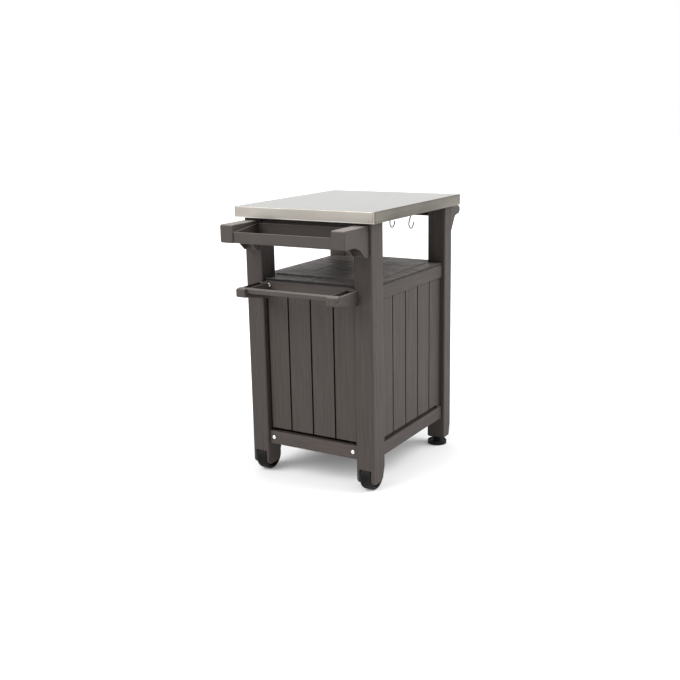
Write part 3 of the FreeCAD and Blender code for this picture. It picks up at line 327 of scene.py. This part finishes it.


# Painted shade: what lies just behind a planked piece's outer face, the grooves between its planks, is
# painted darker, standing in for the shade that falls in them
def grainedResin(name, axis, look, facing=None):
    finish = Finish(name)
    scale = [look["grainWidth"]] * 3
    scale[axis] = look["grainLength"]
    grain = finish.noise(finish.stretched(tuple(scale)), 1.0, detail=5.0, roughness=0.65)
    broad = finish.noise(finish.stretched(tuple(v / look["broadness"] for v in scale)), 1.0, detail=2.0)
    lines = finish.ramp(grain, look["grainStops"])
    stipple = finish.noise(finish.place(), look["stippleScale"], detail=2.0)
    tone = lines * look["grainShare"] + broad * look["broadShare"]
    colour = finish.paintEdgeHighlights(finish.mix(tone, look["dark"], look["light"]), look)
    if facing:
        # Painted shade: darker just behind the outer face, in the grooves
        side, face, hand = facing
        depth = finish.axisOf(finish.place(), side) * hand
        shade = finish.span(depth, face - look["grooveFull"], face - look["grooveStart"], 1.0, 0.0)
        outside = finish.test("GREATER_THAN", depth, face - look["grooveEnd"])
        colour = finish.mix(shade * outside, colour, look["groove"])
    relief = finish.bump(lines, look["grainDepth"], look["grainRelief"], finish.softEdge(look["edge"]))
    relief = finish.bump(stipple, look["stippleDepth"], look["stippleRelief"], relief)
    rough = look["roughness"] + (0.5 - lines) * look["roughSwing"]
    return finish.wear(Base_Color=colour, Roughness=rough, Normal=relief, Specular_IOR_Level=look["gloss"])


# Stippled without a grain, with painted light on faces that look up, where the light falls, and a painted
# highlight along edges
def stippledResin(name, look):
    finish = Finish(name)
    cloud = finish.noise(finish.place(), look["cloudScale"], detail=3.0)
    stipple = finish.noise(finish.place(), look["dotScale"], detail=3.0, roughness=0.7)
    dots = finish.ramp(stipple, look["dotStops"])
    colour = finish.mix(cloud * look["cloudShare"] + dots * look["dotShare"], look["dark"], look["light"])
    # Painted light: faces that look up are painted paler, as if lit from above
    paintedTopLight = finish.span(finish.facing(2), *look["topRange"], 0.0, look["topHighlightShare"])
    colour = finish.paintEdgeHighlights(finish.mix(paintedTopLight, colour, look["paintedHighlight"]), look)
    relief = finish.bump(dots, look["dotDepth"], look["dotRelief"], finish.softEdge(look["edge"]))
    rough = look["roughness"] + (dots - 0.5) * look["roughSwing"]
    return finish.wear(Base_Color=colour, Roughness=rough, Normal=relief, Specular_IOR_Level=look["gloss"])


# Brushed stainless sheet: fine scratches along X, and along Y where a face looks along X. The rim is painted
# darker than the top, darkest along the sides: painted shade standing in for the darker reflection there
steelLook = {
    "pale": (0.50, 0.50, 0.48),
    "deep": (0.40, 0.40, 0.38),
    "paintedEndShades": ((0.44, 0.415, 0.375), (0.31, 0.285, 0.255)),
    "paintedSideShades": ((0.225, 0.21, 0.175), (0.060, 0.056, 0.045)),
    "paintedHemHighlight": (0.66, 0.64, 0.60),
    "paintedBendShade": (0.24, 0.235, 0.22),
    "middleX": -0.0315,
    "half": (0.309, 0.257),
    "hemTop": 0.8672,
    "seamInset": 0.0055,
    "seamHalf": 0.0006,
    "seamStrength": 0.75,
    "seamShade": (0.05, 0.048, 0.042),
    "scratchRun": 5.0,
    "scratchPitch": 900.0,
    "cloudScale": 5.0,
    "patchStretch": (3.2, 3.2, 9.0),
    "patchStops": [(0.36, 0.0), (0.66, 1.0)],
    "brushShare": 0.6,
    "cloudShare": 0.4,
    "patchShare": 0.7,
    "streakShare": 0.3,
    "levelFrom": 0.97,
    "uprightFrom": 0.5,
    "scratchDepth": 0.00012,
    "scratchRelief": 0.45,
    "edge": 0.0015,
    "roughness": 0.34,
    "scratchSwing": 0.22,
    "cloudSwing": 0.06,
}


def brushedSteel(name, look):
    finish = Finish(name)
    turned = [finish.facing(axis) for axis in range(3)]
    onEnd, onSide = (finish.test("GREATER_THAN", turned[axis] * turned[axis], look["uprightFrom"])
                     for axis in (0, 1))
    level = finish.test("GREATER_THAN", turned[2] * turned[2], look["levelFrom"])
    run, pitch = look["scratchRun"], look["scratchPitch"]
    lengthwise = finish.noise(finish.stretched((run, pitch, pitch)), 1.0, detail=3.0)
    crosswise = finish.noise(finish.stretched((pitch, run, pitch)), 1.0, detail=3.0)
    brush = lengthwise * (1 - onEnd) + crosswise * onEnd
    cloud = finish.noise(finish.place(), look["cloudScale"], detail=3.0)
    tone = brush * look["brushShare"] + cloud * look["cloudShare"]
    colour = finish.mix(tone, look["deep"], look["pale"])
    patches = finish.noise(finish.stretched(look["patchStretch"]), 1.0, detail=2.0, roughness=0.4)
    band = finish.ramp(patches, look["patchStops"]) * look["patchShare"] + lengthwise * look["streakShare"]
    # Painted shade: the rim's ends and sides are painted darker than the top, standing in for a darker
    # reflection
    colour = finish.mix(onEnd, colour, finish.mix(band, *look["paintedEndShades"]))
    colour = finish.mix(onSide, colour, finish.mix(band, *look["paintedSideShades"]))
    place = [finish.axisOf(finish.place(), axis) for axis in range(3)]
    # Painted highlight along the lower hem of the rim's ends
    hemHighlight = finish.test("LESS_THAN", place[2], look["hemTop"]) * onEnd
    colour = finish.mix(hemHighlight, colour, look["paintedHemHighlight"])
    # Painted shade on the rounded bends between the top and the rim, damping the highlight there
    colour = finish.mix(1 - level - (onEnd + onSide), colour, look["paintedBendShade"])
    seams = 0.0
    for axis, face, middle in ((0, onSide, look["middleX"]), (1, onEnd, 0.0)):
        reach = finish.test("ABSOLUTE", place[axis] - middle, 0.5)
        near = finish.test("COMPARE", reach, look["half"][axis] - look["seamInset"], look["seamHalf"])
        seams = near * face + seams
    colour = finish.mix(seams * look["seamStrength"], colour, look["seamShade"])
    relief = finish.bump(brush, look["scratchDepth"], look["scratchRelief"], finish.softEdge(look["edge"]))
    rough = look["roughness"] + (brush - 0.5) * look["scratchSwing"] + (cloud - 0.5) * look["cloudSwing"]
    return finish.wear(Base_Color=colour, Metallic=1.0, Roughness=rough, Normal=relief)


# Finishes with an uneven tone alone. "fine" is a second, finer noise for the relief
plainLooks = {
    "blackPlastic": {
        "scale": 60.0, "detail": 4.0, "dark": (0.004, 0.004, 0.004), "light": (0.010, 0.010, 0.010),
        "metal": 0.0, "gloss": 0.12, "roughness": 0.5, "swing": 0.2, "fine": 700.0,
        "depth": 0.0002, "relief": 0.5,
    },
    "brightZinc": {
        "scale": 220.0, "detail": 4.0, "dark": (0.66, 0.67, 0.68), "light": (0.84, 0.84, 0.82),
        "metal": 1.0, "gloss": 0.5, "roughness": 0.28, "swing": 0.18,
        "depth": 0.0001, "relief": 0.4,
    },
    "darkWire": {
        "scale": 350.0, "detail": 3.0, "dark": (0.004, 0.004, 0.004), "light": (0.012, 0.012, 0.012),
        "metal": 0.0, "gloss": 0.5, "roughness": 0.34, "swing": 0.2,
        "depth": 0.0002, "relief": 0.4,
    },
}


def plainFinish(name):
    look = plainLooks[name]
    finish = Finish(name)
    cloud = finish.noise(finish.place(), look["scale"], detail=look["detail"])
    grit = finish.noise(finish.place(), look["fine"], detail=2.0) if "fine" in look else cloud
    return finish.wear(Base_Color=finish.mix(cloud, look["dark"], look["light"]), Metallic=look["metal"],
                       Roughness=look["roughness"] + (cloud - 0.5) * look["swing"],
                       Specular_IOR_Level=look["gloss"],
                       Normal=finish.bump(grit, look["depth"], look["relief"]))


# Outer face of each planked piece: its axis, its distance from the middle and its side
plankFaces = {
    "back": (1, 0.2175, 1.0),
    "wheelEnd": (0, 0.2400, 1.0),
    "footEnd": (0, 0.3030, -1.0),
    "deck": (2, 0.6682, 1.0),
    "door": (1, 0.2220, -1.0),
}
alongX, alongY, alongZ = 0, 1, 2

finishes = {
    "upright": grainedResin("resinUpright", alongZ, resinTones),
    "backPlanks": grainedResin("resinBackPlanks", alongZ, resinTones, plankFaces["back"]),
    "wheelEndPlanks": grainedResin("resinWheelEndPlanks", alongZ, resinTones, plankFaces["wheelEnd"]),
    "footEndPlanks": grainedResin("resinFootEndPlanks", alongZ, resinTones, plankFaces["footEnd"]),
    "deckPlanks": grainedResin("resinDeckPlanks", alongY, deckTones, plankFaces["deck"]),
    "doorPlanks": grainedResin("resinDoorPlanks", alongZ, resinTones, plankFaces["door"]),
    "lengthwise": grainedResin("resinLengthwise", alongX, resinTones),
    "crosswise": grainedResin("resinCrosswise", alongY, railTones),
    "stippled": stippledResin("resinStippled", armTones),
    "steel": brushedSteel("brushedSteel", steelLook),
    "black": plainFinish("blackPlastic"),
    "zinc": plainFinish("brightZinc"),
    "wire": plainFinish("darkWire"),
}

# Which way each piece's grain runs, or which other finish it wears
finishWords = [
    ("worktop_sheet", "steel"),
    ("levelling_stud", "zinc"), ("axle", "zinc"), ("door_pins", "zinc"), ("end_bolts", "zinc"),
    ("wheel_", "black"), ("levelling_foot", "black"), ("hook_", "wire"),
    ("leg_", "upright"), ("panel_back", "backPlanks"), ("panel_wheel", "wheelEndPlanks"),
    ("panel_foot", "footEndPlanks"), ("door_left", "doorPlanks"), ("door_right", "doorPlanks"),
    ("upper_rail_wheel", "crosswise"), ("upper_rail_foot", "crosswise"),
    ("lower_rail_wheel", "crosswise"), ("lower_rail_foot", "crosswise"),
    ("top_rail", "crosswise"), ("upper_rail", "lengthwise"), ("lower_rail", "lengthwise"),
    ("cabinet_deck", "deckPlanks"), ("cabinet_", "lengthwise"), ("inner_shelf", "lengthwise"),
]


def finishFor(node):
    for word, finish in finishWords:
        if node.startswith(word):
            return finishes[finish]
    return finishes["stippled"]


for name, piece in nodes.items():
    piece.data.materials.clear()
    piece.data.materials.append(finishFor(name))
print("finishes on", len(nodes), "nodes")


# A Geometry Nodes tree whose sizes are named inputs
class Growth(Graph):
    family = "GeometryNode"

    def __init__(self, name, sizes):
        self.tree = bpy.data.node_groups.new(name, "GeometryNodeTree")
        self.sizes = sizes
        sockets = self.tree.interface
        sockets.new_socket("Geometry", in_out="OUTPUT", socket_type="NodeSocketGeometry")
        sockets.new_socket("Geometry", in_out="INPUT", socket_type="NodeSocketGeometry")
        for key, value in sizes.items():
            kind = {int: "Int", float: "Float", tuple: "Vector"}[type(value)]
            sockets.new_socket(key, in_out="INPUT", socket_type="NodeSocket" + kind)
        self.entry = self.tree.nodes.new("NodeGroupInput")
        self.exit = self.tree.nodes.new("NodeGroupOutput")

    def size(self, key):
        return Wire(self.tree, self.entry.outputs[key])

    def close(self, geometry, finish):
        real = self.node("RealizeInstances", sockets={"Geometry": geometry})
        worn = self.node("SetMaterial", sockets={"Geometry": real, "Material": finish})
        self.tree.links.new(worn.socket, self.exit.inputs[0])


sharpAngle = math.radians(32)


def addPiece(name, mesh, finish, body, replaced=()):
    piece = bpy.data.objects.new(name, mesh)
    bpy.context.scene.collection.objects.link(piece)
    mesh.materials.clear()
    mesh.materials.append(finish)
    mesh.shade_smooth()
    mesh.set_sharp_from_angle(angle=sharpAngle)
    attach(piece, body)
    if replaced:
        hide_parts(*replaced)
    return piece


def seedMesh(name, points, edges=()):
    mesh = bpy.data.meshes.new(name)
    mesh.from_pydata([Vector(point) for point in points], edges, [])
    return mesh


# Runs a tree on a seed mesh and gives the plain mesh that comes out
def grow(growth, seed):
    holder = bpy.data.objects.new("growthHolder", seed)
    bpy.context.scene.collection.objects.link(holder)
    modifier = holder.modifiers.new("growth", "NODES")
    modifier.node_group = growth.tree
    for item in growth.tree.interface.items_tree:
        if item.in_out == "INPUT" and item.name in growth.sizes:
            modifier[item.identifier] = growth.sizes[item.name]
    view = bpy.context.evaluated_depsgraph_get()
    mesh = bpy.data.meshes.new_from_object(holder.evaluated_get(view))
    holder.modifiers.remove(modifier)
    bpy.data.objects.remove(holder)
    return mesh


# A turned shape: rings of (radius, height) in millimetres; "hexed" rings are six-sided
def lathe(name, outline, place, axis, sides, closed=False, hexed=()):
    shape = bmesh.new()
    rings = []
    for number, (radius, height) in enumerate(outline):
        ring = []
        for step in range(sides if radius else 1):
            angle = 2 * math.pi * step / sides
            reach = radius
            if number in hexed:
                reach = radius * math.cos(math.pi / 6) / math.cos(angle % (math.pi / 3) - math.pi / 6)
            ring.append(shape.verts.new((reach * math.cos(angle), reach * math.sin(angle), height)))
        rings.append(ring)
    for low, high in zip(rings, rings[1:] + rings[:1] if closed else rings[1:]):
        for step in range(sides):
            corners = [ring[(step + far) % len(ring)]
                       for ring, far in ((low, 0), (low, 1), (high, 1), (high, 0))]
            shape.faces.new(list(dict.fromkeys(corners)))
    bmesh.ops.recalc_face_normals(shape, faces=shape.faces)
    turn = Vector((0, 0, 1)).rotation_difference(Vector(axis)).to_matrix().to_4x4()
    shape.transform(Matrix.Translation(Vector(place) * milli) @ turn @ Matrix.Scale(milli, 4))
    mesh = bpy.data.meshes.new(name)
    shape.to_mesh(mesh)
    shape.free()
    return mesh


def arc(centre, radius, first, last, steps):
    points = []
    for step in range(steps + 1):
        angle = math.radians(first + (last - first) * step / steps)
        points.append((centre[0] + radius * math.cos(angle), centre[1] + radius * math.sin(angle)))
    return points


# A block whose outline in X and Z runs between two places in Y, in millimetres
def prismMesh(name, outline, low, high):
    shape = bmesh.new()
    ends = [[shape.verts.new((x * milli, y * milli, z * milli)) for x, z in outline] for y in (low, high)]
    for end in ends:
        shape.faces.new(end)
    for step in range(len(outline)):
        far = (step + 1) % len(outline)
        shape.faces.new([ends[0][step], ends[0][far], ends[1][far], ends[1][step]])
    bmesh.ops.recalc_face_normals(shape, faces=shape.faces)
    mesh = bpy.data.meshes.new(name)
    shape.to_mesh(mesh)
    shape.free()
    return mesh


weldReach = 2e-6


# A merged copy of a moulded piece with blocks cut out of it
def cutCopy(node, blocks):
    shape = bmesh.new()
    shape.from_mesh(nodes[node].data)
    bmesh.ops.remove_doubles(shape, verts=shape.verts, dist=weldReach)
    mesh = bpy.data.meshes.new(node + "Cut")
    shape.to_mesh(mesh)
    shape.free()
    holder = bpy.data.objects.new("cutHolder", mesh)
    bpy.context.scene.collection.objects.link(holder)
    cutters = []
    for block in blocks:
        cutter = bpy.data.objects.new("cutter", prismMesh("cutter", *block))
        bpy.context.scene.collection.objects.link(cutter)
        cutters.append(cutter)
        modifier = holder.modifiers.new("cut", "BOOLEAN")
        modifier.object = cutter
        modifier.solver = "EXACT"
    view = bpy.context.evaluated_depsgraph_get()
    result = bpy.data.meshes.new_from_object(holder.evaluated_get(view))
    for helper in [holder] + cutters:
        bpy.data.objects.remove(helper)
    return result


# End panels: the planks stop short of the legs, which leaves an upright gap at both ends, a slot runs
# below all of them, and the grooves between them have straight sides
panelLook = {
    "panels": {"wheel_end": (240.0, 1), "foot_end": (303.0, -1)},
    "gap": (162.0, 171.0),
    "gapDepth": 6.0,
    "heights": (146.0, 657.0),
    "slot": (149.0, 159.5),
    "slotDepth": 15.0,
    "grooves": (-85.0, 0.0, 85.0),
    "grooveHalf": 2.8,
    "proud": 2,
    "lap": 0.5,
    "sharpDegrees": 20,
}


def rectangle(xs, zs):
    return [(xs[0], zs[0]), (xs[1], zs[0]), (xs[1], zs[1]), (xs[0], zs[1])]


def addPanels(look):
    low, high = look["gap"]
    for end, (face, side) in look["panels"].items():
        node = "panel_" + end
        outside = side * (face + look["proud"])
        gap = rectangle((side * (face - look["gapDepth"]), outside), look["heights"])
        slot = rectangle((side * (face - look["slotDepth"]), outside), look["slot"])
        blocks = [(gap, -high, -low), (gap, low, high), (slot, -low - look["lap"], low + look["lap"])]
        for middle in look["grooves"]:
            blocks.append((gap, middle - look["grooveHalf"], middle + look["grooveHalf"]))
        piece = addPiece(node + "_planks", cutCopy(node, blocks), finishFor(node), "cart",
                         [node])
        piece.data.set_sharp_from_angle(angle=math.radians(look["sharpDegrees"]))


addPanels(panelLook)
print("end panels ready")


# Forks of the wheel legs: both cheeks lean back below, so that the wheel shows behind them, and the
# slot between them is widened to clear the wheel by half a millimetre at each side
forkLook = {
    "legs": {"back": (160.0, 240.0), "front": (-240.0, -160.0)},
    "axle": (213.5, 48.0),
    "slotRadius": 51.0,
    "slotSteps": 72,
    "slots": {"back": (180.5, 223.5), "front": (-223.5, -180.5)},
    "lean": [(176.0, 55.0), (181.5, 53.0), (184.0, 48.0), (206.5, 26.0), (209.0, 20.0), (176.0, 20.0)],
}


def addForks(look):
    steps = look["slotSteps"]
    slot = arc(look["axle"], look["slotRadius"], 0, 360 - 360 / steps, steps - 1)
    for side, reach in look["legs"].items():
        node = "leg_wheel_" + side
        blocks = [(look["lean"], *reach), (slot, *look["slots"][side])]
        addPiece(node + "_fork", cutCopy(node, blocks), finishFor(node), "cart", [node])


addForks(forkLook)
print("forks ready")


# Wheels: moulded black, finely grooved tread, rounded shoulders, ribs in each dish
wheelLook = {
    "places": {"back": (213.5, 202, 48), "front": (213.5, -202, 48)},
    "radius": 48.0,
    "halfWidth": 21.0,
    "shoulder": 9.0,
    "shoulderSteps": 8,
    "sides": 96,
    "treadPitch": 3.4,
    "treadCut": 0.7,
    "treadMouth": 0.7,
    "treadBase": 0.35,
    "treadGrooves": 7,
    "dishRadius": 37.0,
    "dishDepth": 8.0,
    "dishCorner": 1.5,
    "lip": 1.0,
    "hubRadius": 13.0,
    "bore": 5.06,
    "ribs": 10,
    "ribSize": (0.0236, 0.0026, 0.0052),
    "ribRing": 0.025,
}


def treadOutline(look):
    half = look["treadGrooves"] // 2
    mouth, base = look["treadMouth"], look["treadBase"]
    outline = []
    for number in range(-half, half + 1):
        middle = number * look["treadPitch"]
        for offset, cut in ((-mouth, 0), (-base, 1), (base, 1), (mouth, 0)):
            outline.append((look["radius"] - cut * look["treadCut"], middle + offset))
    return outline


def wheelOutline(look):
    half, shoulder, lip = look["halfWidth"], look["shoulder"], look["lip"]
    floor = half - look["dishDepth"]
    hub, dish, corner = look["hubRadius"], look["dishRadius"], look["dishCorner"]
    side = [(look["bore"], half), (hub - lip, half), (hub, half - lip), (hub + lip, floor),
            (dish - corner, floor), (dish, floor + corner), (dish, half - lip), (dish + lip, half)]
    side += arc((look["radius"] - shoulder, half - shoulder), shoulder, 90, 0, look["shoulderSteps"])
    return [(r, -y) for r, y in side] + treadOutline(look) + side[::-1]


def ribGrowth(look, place):
    sizes = {"count": look["ribs"], "ring": look["ribRing"], "ribSize": look["ribSize"],
             "stepAngle": 2 * math.pi / look["ribs"], "centre": tuple(v * milli for v in place),
             "lay": (math.pi / 2, 0.0, 0.0),
             "offset": (0.0, (look["halfWidth"] - look["dishDepth"]) * milli + look["ribSize"][2] / 2, 0.0)}
    growth = Growth("wheelRibs", sizes)
    ring = growth.node("MeshCircle", sockets={"Vertices": growth.size("count"),
                                              "Radius": growth.size("ring")})
    angle = growth.node("InputIndex") * growth.size("stepAngle")
    turn = growth.node("FunctionNodeAxisAngleToRotation", sockets={"Angle": angle})
    rib = growth.node("MeshCube", sockets={"Size": growth.size("ribSize")})
    ribs = growth.node("InstanceOnPoints", sockets={"Points": ring, "Instance": rib, "Rotation": turn})
    both = growth.tree.nodes.new("GeometryNodeJoinGeometry")
    for operation in ("ADD", "SUBTRACT"):
        shift = growth.node("ShaderNodeVectorMath", {"operation": operation},
                            {0: growth.size("centre"), 1: growth.size("offset")})
        placed = growth.node("Transform", sockets={"Geometry": ribs, "Translation": shift,
                                                   "Rotation": growth.size("lay")})
        growth.tree.links.new(placed.socket, both.inputs[0])
    growth.close(Wire(growth.tree, both.outputs[0]), finishes["black"])
    return growth


def addWheels(look):
    for side, place in look["places"].items():
        body = "wheel_" + side
        tyre = lathe("wheel" + side, wheelOutline(look), place, (0, 1, 0), look["sides"], closed=True)
        addPiece("wheel_" + side + "_moulding", tyre, finishes["black"], body, [body])
        ribs = grow(ribGrowth(look, place), seedMesh("wheelRibSeed", [(0, 0, 0)]))
        addPiece("wheel_" + side + "_ribs", ribs, finishes["black"], body)


addWheels(wheelLook)
print("wheels ready")


# Levelling feet: a black disc with a raised rim and a flared neck, on a threaded steel stud
footLook = {
    "places": {"back": (-278.5, 201, 0), "front": (-278.5, -201, 0)},
    "disc": 34.0,
    "height": 13.0,
    "rimWidth": 4.0,
    "rimDepth": 3.0,
    "neckFoot": 15.0,
    "neck": 11.0,
    "neckTop": 22.5,
    "studRadius": 5.0,
    "studReach": (5.0, 59.0),
    "threadPitch": 1.5,
    "threadDepth": 0.55,
    "round": 2,
    "roundSteps": 4,
    "sides": 96,
    "turnSteps": 20,
    "threadSides": 4,
    "coreSides": 32,
    "lip": 0.8,
    "rimSlope": 0.6,
    "flare": 1.5,
    "flareRise": 0.9,
    "studGap": 0.2,
}


def footOutline(look):
    disc, height, inner = look["disc"], look["height"], look["disc"] - look["rimWidth"]
    turn, lip, neck, top = look["round"], look["lip"], look["neck"], look["neckTop"]
    floor, steps = height - look["rimDepth"], look["roundSteps"]
    socket, bottom = look["studRadius"] + look["studGap"], look["studReach"][0]
    outline = [(0, 0)] + arc((disc - turn, turn), turn, -90, 0, steps)
    outline += arc((disc - turn, height - turn), turn, 0, 90, steps)
    outline += [(inner + lip, height), (inner, height - lip), (inner - look["rimSlope"], floor)]
    outline += [(look["neckFoot"] + look["flare"], floor), (look["neckFoot"], floor + look["flareRise"])]
    outline += [(neck, top - lip), (neck - lip, top)]
    return outline + [(socket, top), (socket, bottom), (0, bottom)]


def studGrowth(look, place):
    low, high = look["studReach"]
    ridge = look["threadDepth"]
    reach = high - low - 2 * ridge
    sizes = {"turns": reach / look["threadPitch"], "ring": (look["studRadius"] - ridge) * milli,
             "height": reach * milli, "ridge": ridge * milli,
             "core": (look["studRadius"] - ridge) * milli, "length": (high - low) * milli,
             "threadFoot": (place[0] * milli, place[1] * milli, (low + ridge) * milli),
             "coreMiddle": (place[0] * milli, place[1] * milli, (low + high) / 2 * milli)}
    growth = Growth("studThread", sizes)
    helix = growth.node("CurveSpiral", sockets={"Resolution": look["turnSteps"],
                                                "Rotations": growth.size("turns"),
                                                "Start Radius": growth.size("ring"),
                                                "End Radius": growth.size("ring"),
                                                "Height": growth.size("height")})
    section = growth.node("CurvePrimitiveCircle", sockets={"Resolution": look["threadSides"],
                                                           "Radius": growth.size("ridge")})
    thread = growth.node("CurveToMesh", sockets={"Curve": helix, "Profile Curve": section, "Fill Caps": True})
    core = growth.node("MeshCylinder", sockets={"Vertices": look["coreSides"],
                                                "Radius": growth.size("core"),
                                                "Depth": growth.size("length")})
    both = growth.tree.nodes.new("GeometryNodeJoinGeometry")
    for shape, shift in ((thread, "threadFoot"), (core, "coreMiddle")):
        placed = growth.node("Transform", sockets={"Geometry": shape, "Translation": growth.size(shift)})
        growth.tree.links.new(placed.socket, both.inputs[0])
    growth.close(Wire(growth.tree, both.outputs[0]), finishes["zinc"])
    return growth


def addFeet(look):
    for side, place in look["places"].items():
        body = "foot_" + side
        disc = lathe("foot" + side, footOutline(look), place, (0, 0, 1), look["sides"])
        addPiece("foot_" + side + "_disc", disc, finishes["black"], body,
                 ["levelling_foot_" + side])
        stud = grow(studGrowth(look, place), seedMesh("studSeed", [(0, 0, 0)]))
        addPiece("foot_" + side + "_stud", stud, finishes["zinc"], body,
                 ["levelling_stud_" + side])


addFeet(footLook)
print("feet ready")


# Bolts on the wheel end: domed heads with a six-sided socket, one shape put at four places
boltLook = {
    "places": [(246.5, -153, 127), (246.5, 153, 127), (246.5, -153, 647), (246.5, 153, 647)],
    "head": 7.0,
    "rise": 4.0,
    "socket": 2.6,
    "socketDepth": 2.2,
    "shank": 3.0,
    "shankLength": 18.0,
    "socketPoint": 0.5,
    "socketLip": 0.25,
    "socketBevel": 0.7,
    "headRound": 2.6,
    "domeFrom": 80,
    "domeSteps": 6,
    "sides": 48,
}


def boltOutline(look):
    head, rise, socket, turn = look["head"], look["rise"], look["socket"], look["headRound"]
    shank, length = look["shank"], look["shankLength"]
    floor = rise - look["socketDepth"]
    outline = [(0, floor - look["socketPoint"]), (socket, floor), (socket, rise - look["socketLip"])]
    outline += [(socket + look["socketBevel"], rise)]
    outline += arc((head - turn, rise - turn), turn, look["domeFrom"], 0, look["domeSteps"])
    return outline + [(head, 0), (shank, 0), (shank, -length), (0, -length)]


def addBolts(look):
    one = lathe("boltShape", boltOutline(look), (0, 0, 0), (1, 0, 0), look["sides"], hexed=(1, 2))
    shape = bpy.data.objects.new("boltShape", one)
    growth = Growth("boltRow", {"scale": 1.0})
    bolt = growth.node("ObjectInfo", sockets={"Object": shape}, output=4)
    row = growth.node("InstanceOnPoints", sockets={"Points": Wire(growth.tree, growth.entry.outputs[0]),
                                                   "Instance": bolt, "Scale": growth.size("scale")})
    growth.close(row, finishes["zinc"])
    seed = seedMesh("boltSeed", [Vector(place) * milli for place in look["places"]])
    addPiece("end_bolts_domed", grow(growth, seed), finishes["zinc"], "cart", ["end_bolts"])
    bpy.data.objects.remove(shape)


addBolts(boltLook)
print("bolts ready")


# Hooks: bent wire swept along an arch, a slanting shank and an open loop, with rounded tips
hookLook = {
    "places": {"inner": 152.0, "outer": 221.0},
    "middleX": -31.5,
    "upper": 877.45,
    "lower": 831.45,
    "upperRadius": 9.0,
    "upperSteps": 24,
    "lowerRadius": 16.0,
    "lowerSteps": 36,
    "tipAngle": 15.0,
    "wire": 2.0,
    "wireSides": 16,
    "tipAngles": (8, 30, 55),
}


def hookPath(look):
    reach = look["upperRadius"] + look["lowerRadius"]
    lean = math.degrees(math.asin(reach / (look["upper"] - look["lower"])))
    bends = ((look["upper"], look["upperRadius"], 180, -lean, look["upperSteps"]),
             (look["lower"], look["lowerRadius"], 180 - lean, 360 + look["tipAngle"], look["lowerSteps"]))
    path = []
    for height, radius, first, last, steps in bends:
        path += [(look["middleX"] - x, z) for x, z in arc((0, height), radius, first, last, steps)]
    return path


# Path points with girths that close the wire in a round tip at both ends
def roundTipped(path, radius, tipAngles):
    tips = []
    for far, near in ((path[0], path[1]), (path[-1], path[-2])):
        run = (Vector(near) - Vector(far)).normalized()
        angles = [math.radians(angle) for angle in tipAngles]
        tips.append([(tuple(Vector(far) + run * radius * (1 - math.cos(angle))), math.sin(angle))
                     for angle in angles])
    whole = [(point, 1.0) for point in path[1:-1]]
    return tips[0] + whole + tips[1][::-1]


def addHooks(look):
    for side, place in look["places"].items():
        points = roundTipped(hookPath(look), look["wire"], look["tipAngles"])
        seed = seedMesh("hookSeed", [(x * milli, place * milli, z * milli) for (x, z), girth in points],
                        [(step, step + 1) for step in range(len(points) - 1)])
        girths = seed.attributes.new("girth", "FLOAT", "POINT")
        girths.data.foreach_set("value", [girth for point, girth in points])
        growth = Growth("hookWire", {"wire": look["wire"] * milli, "sides": look["wireSides"]})
        path = growth.node("MeshToCurve", sockets={"Mesh": Wire(growth.tree, growth.entry.outputs[0])})
        section = growth.node("CurvePrimitiveCircle", sockets={"Resolution": growth.size("sides"),
                                                               "Radius": growth.size("wire")})
        girth = growth.node("InputNamedAttribute", {"data_type": "FLOAT"}, {"Name": "girth"})
        wire = growth.node("CurveToMesh", sockets={"Curve": path, "Profile Curve": section, "Scale": girth,
                                                   "Fill Caps": True})
        growth.close(wire, finishes["wire"])
        addPiece("hook_" + side + "_wire", grow(growth, seed), finishes["wire"], "hook_" + side,
                 ["hook_" + side])


addHooks(hookLook)
print("hooks ready")
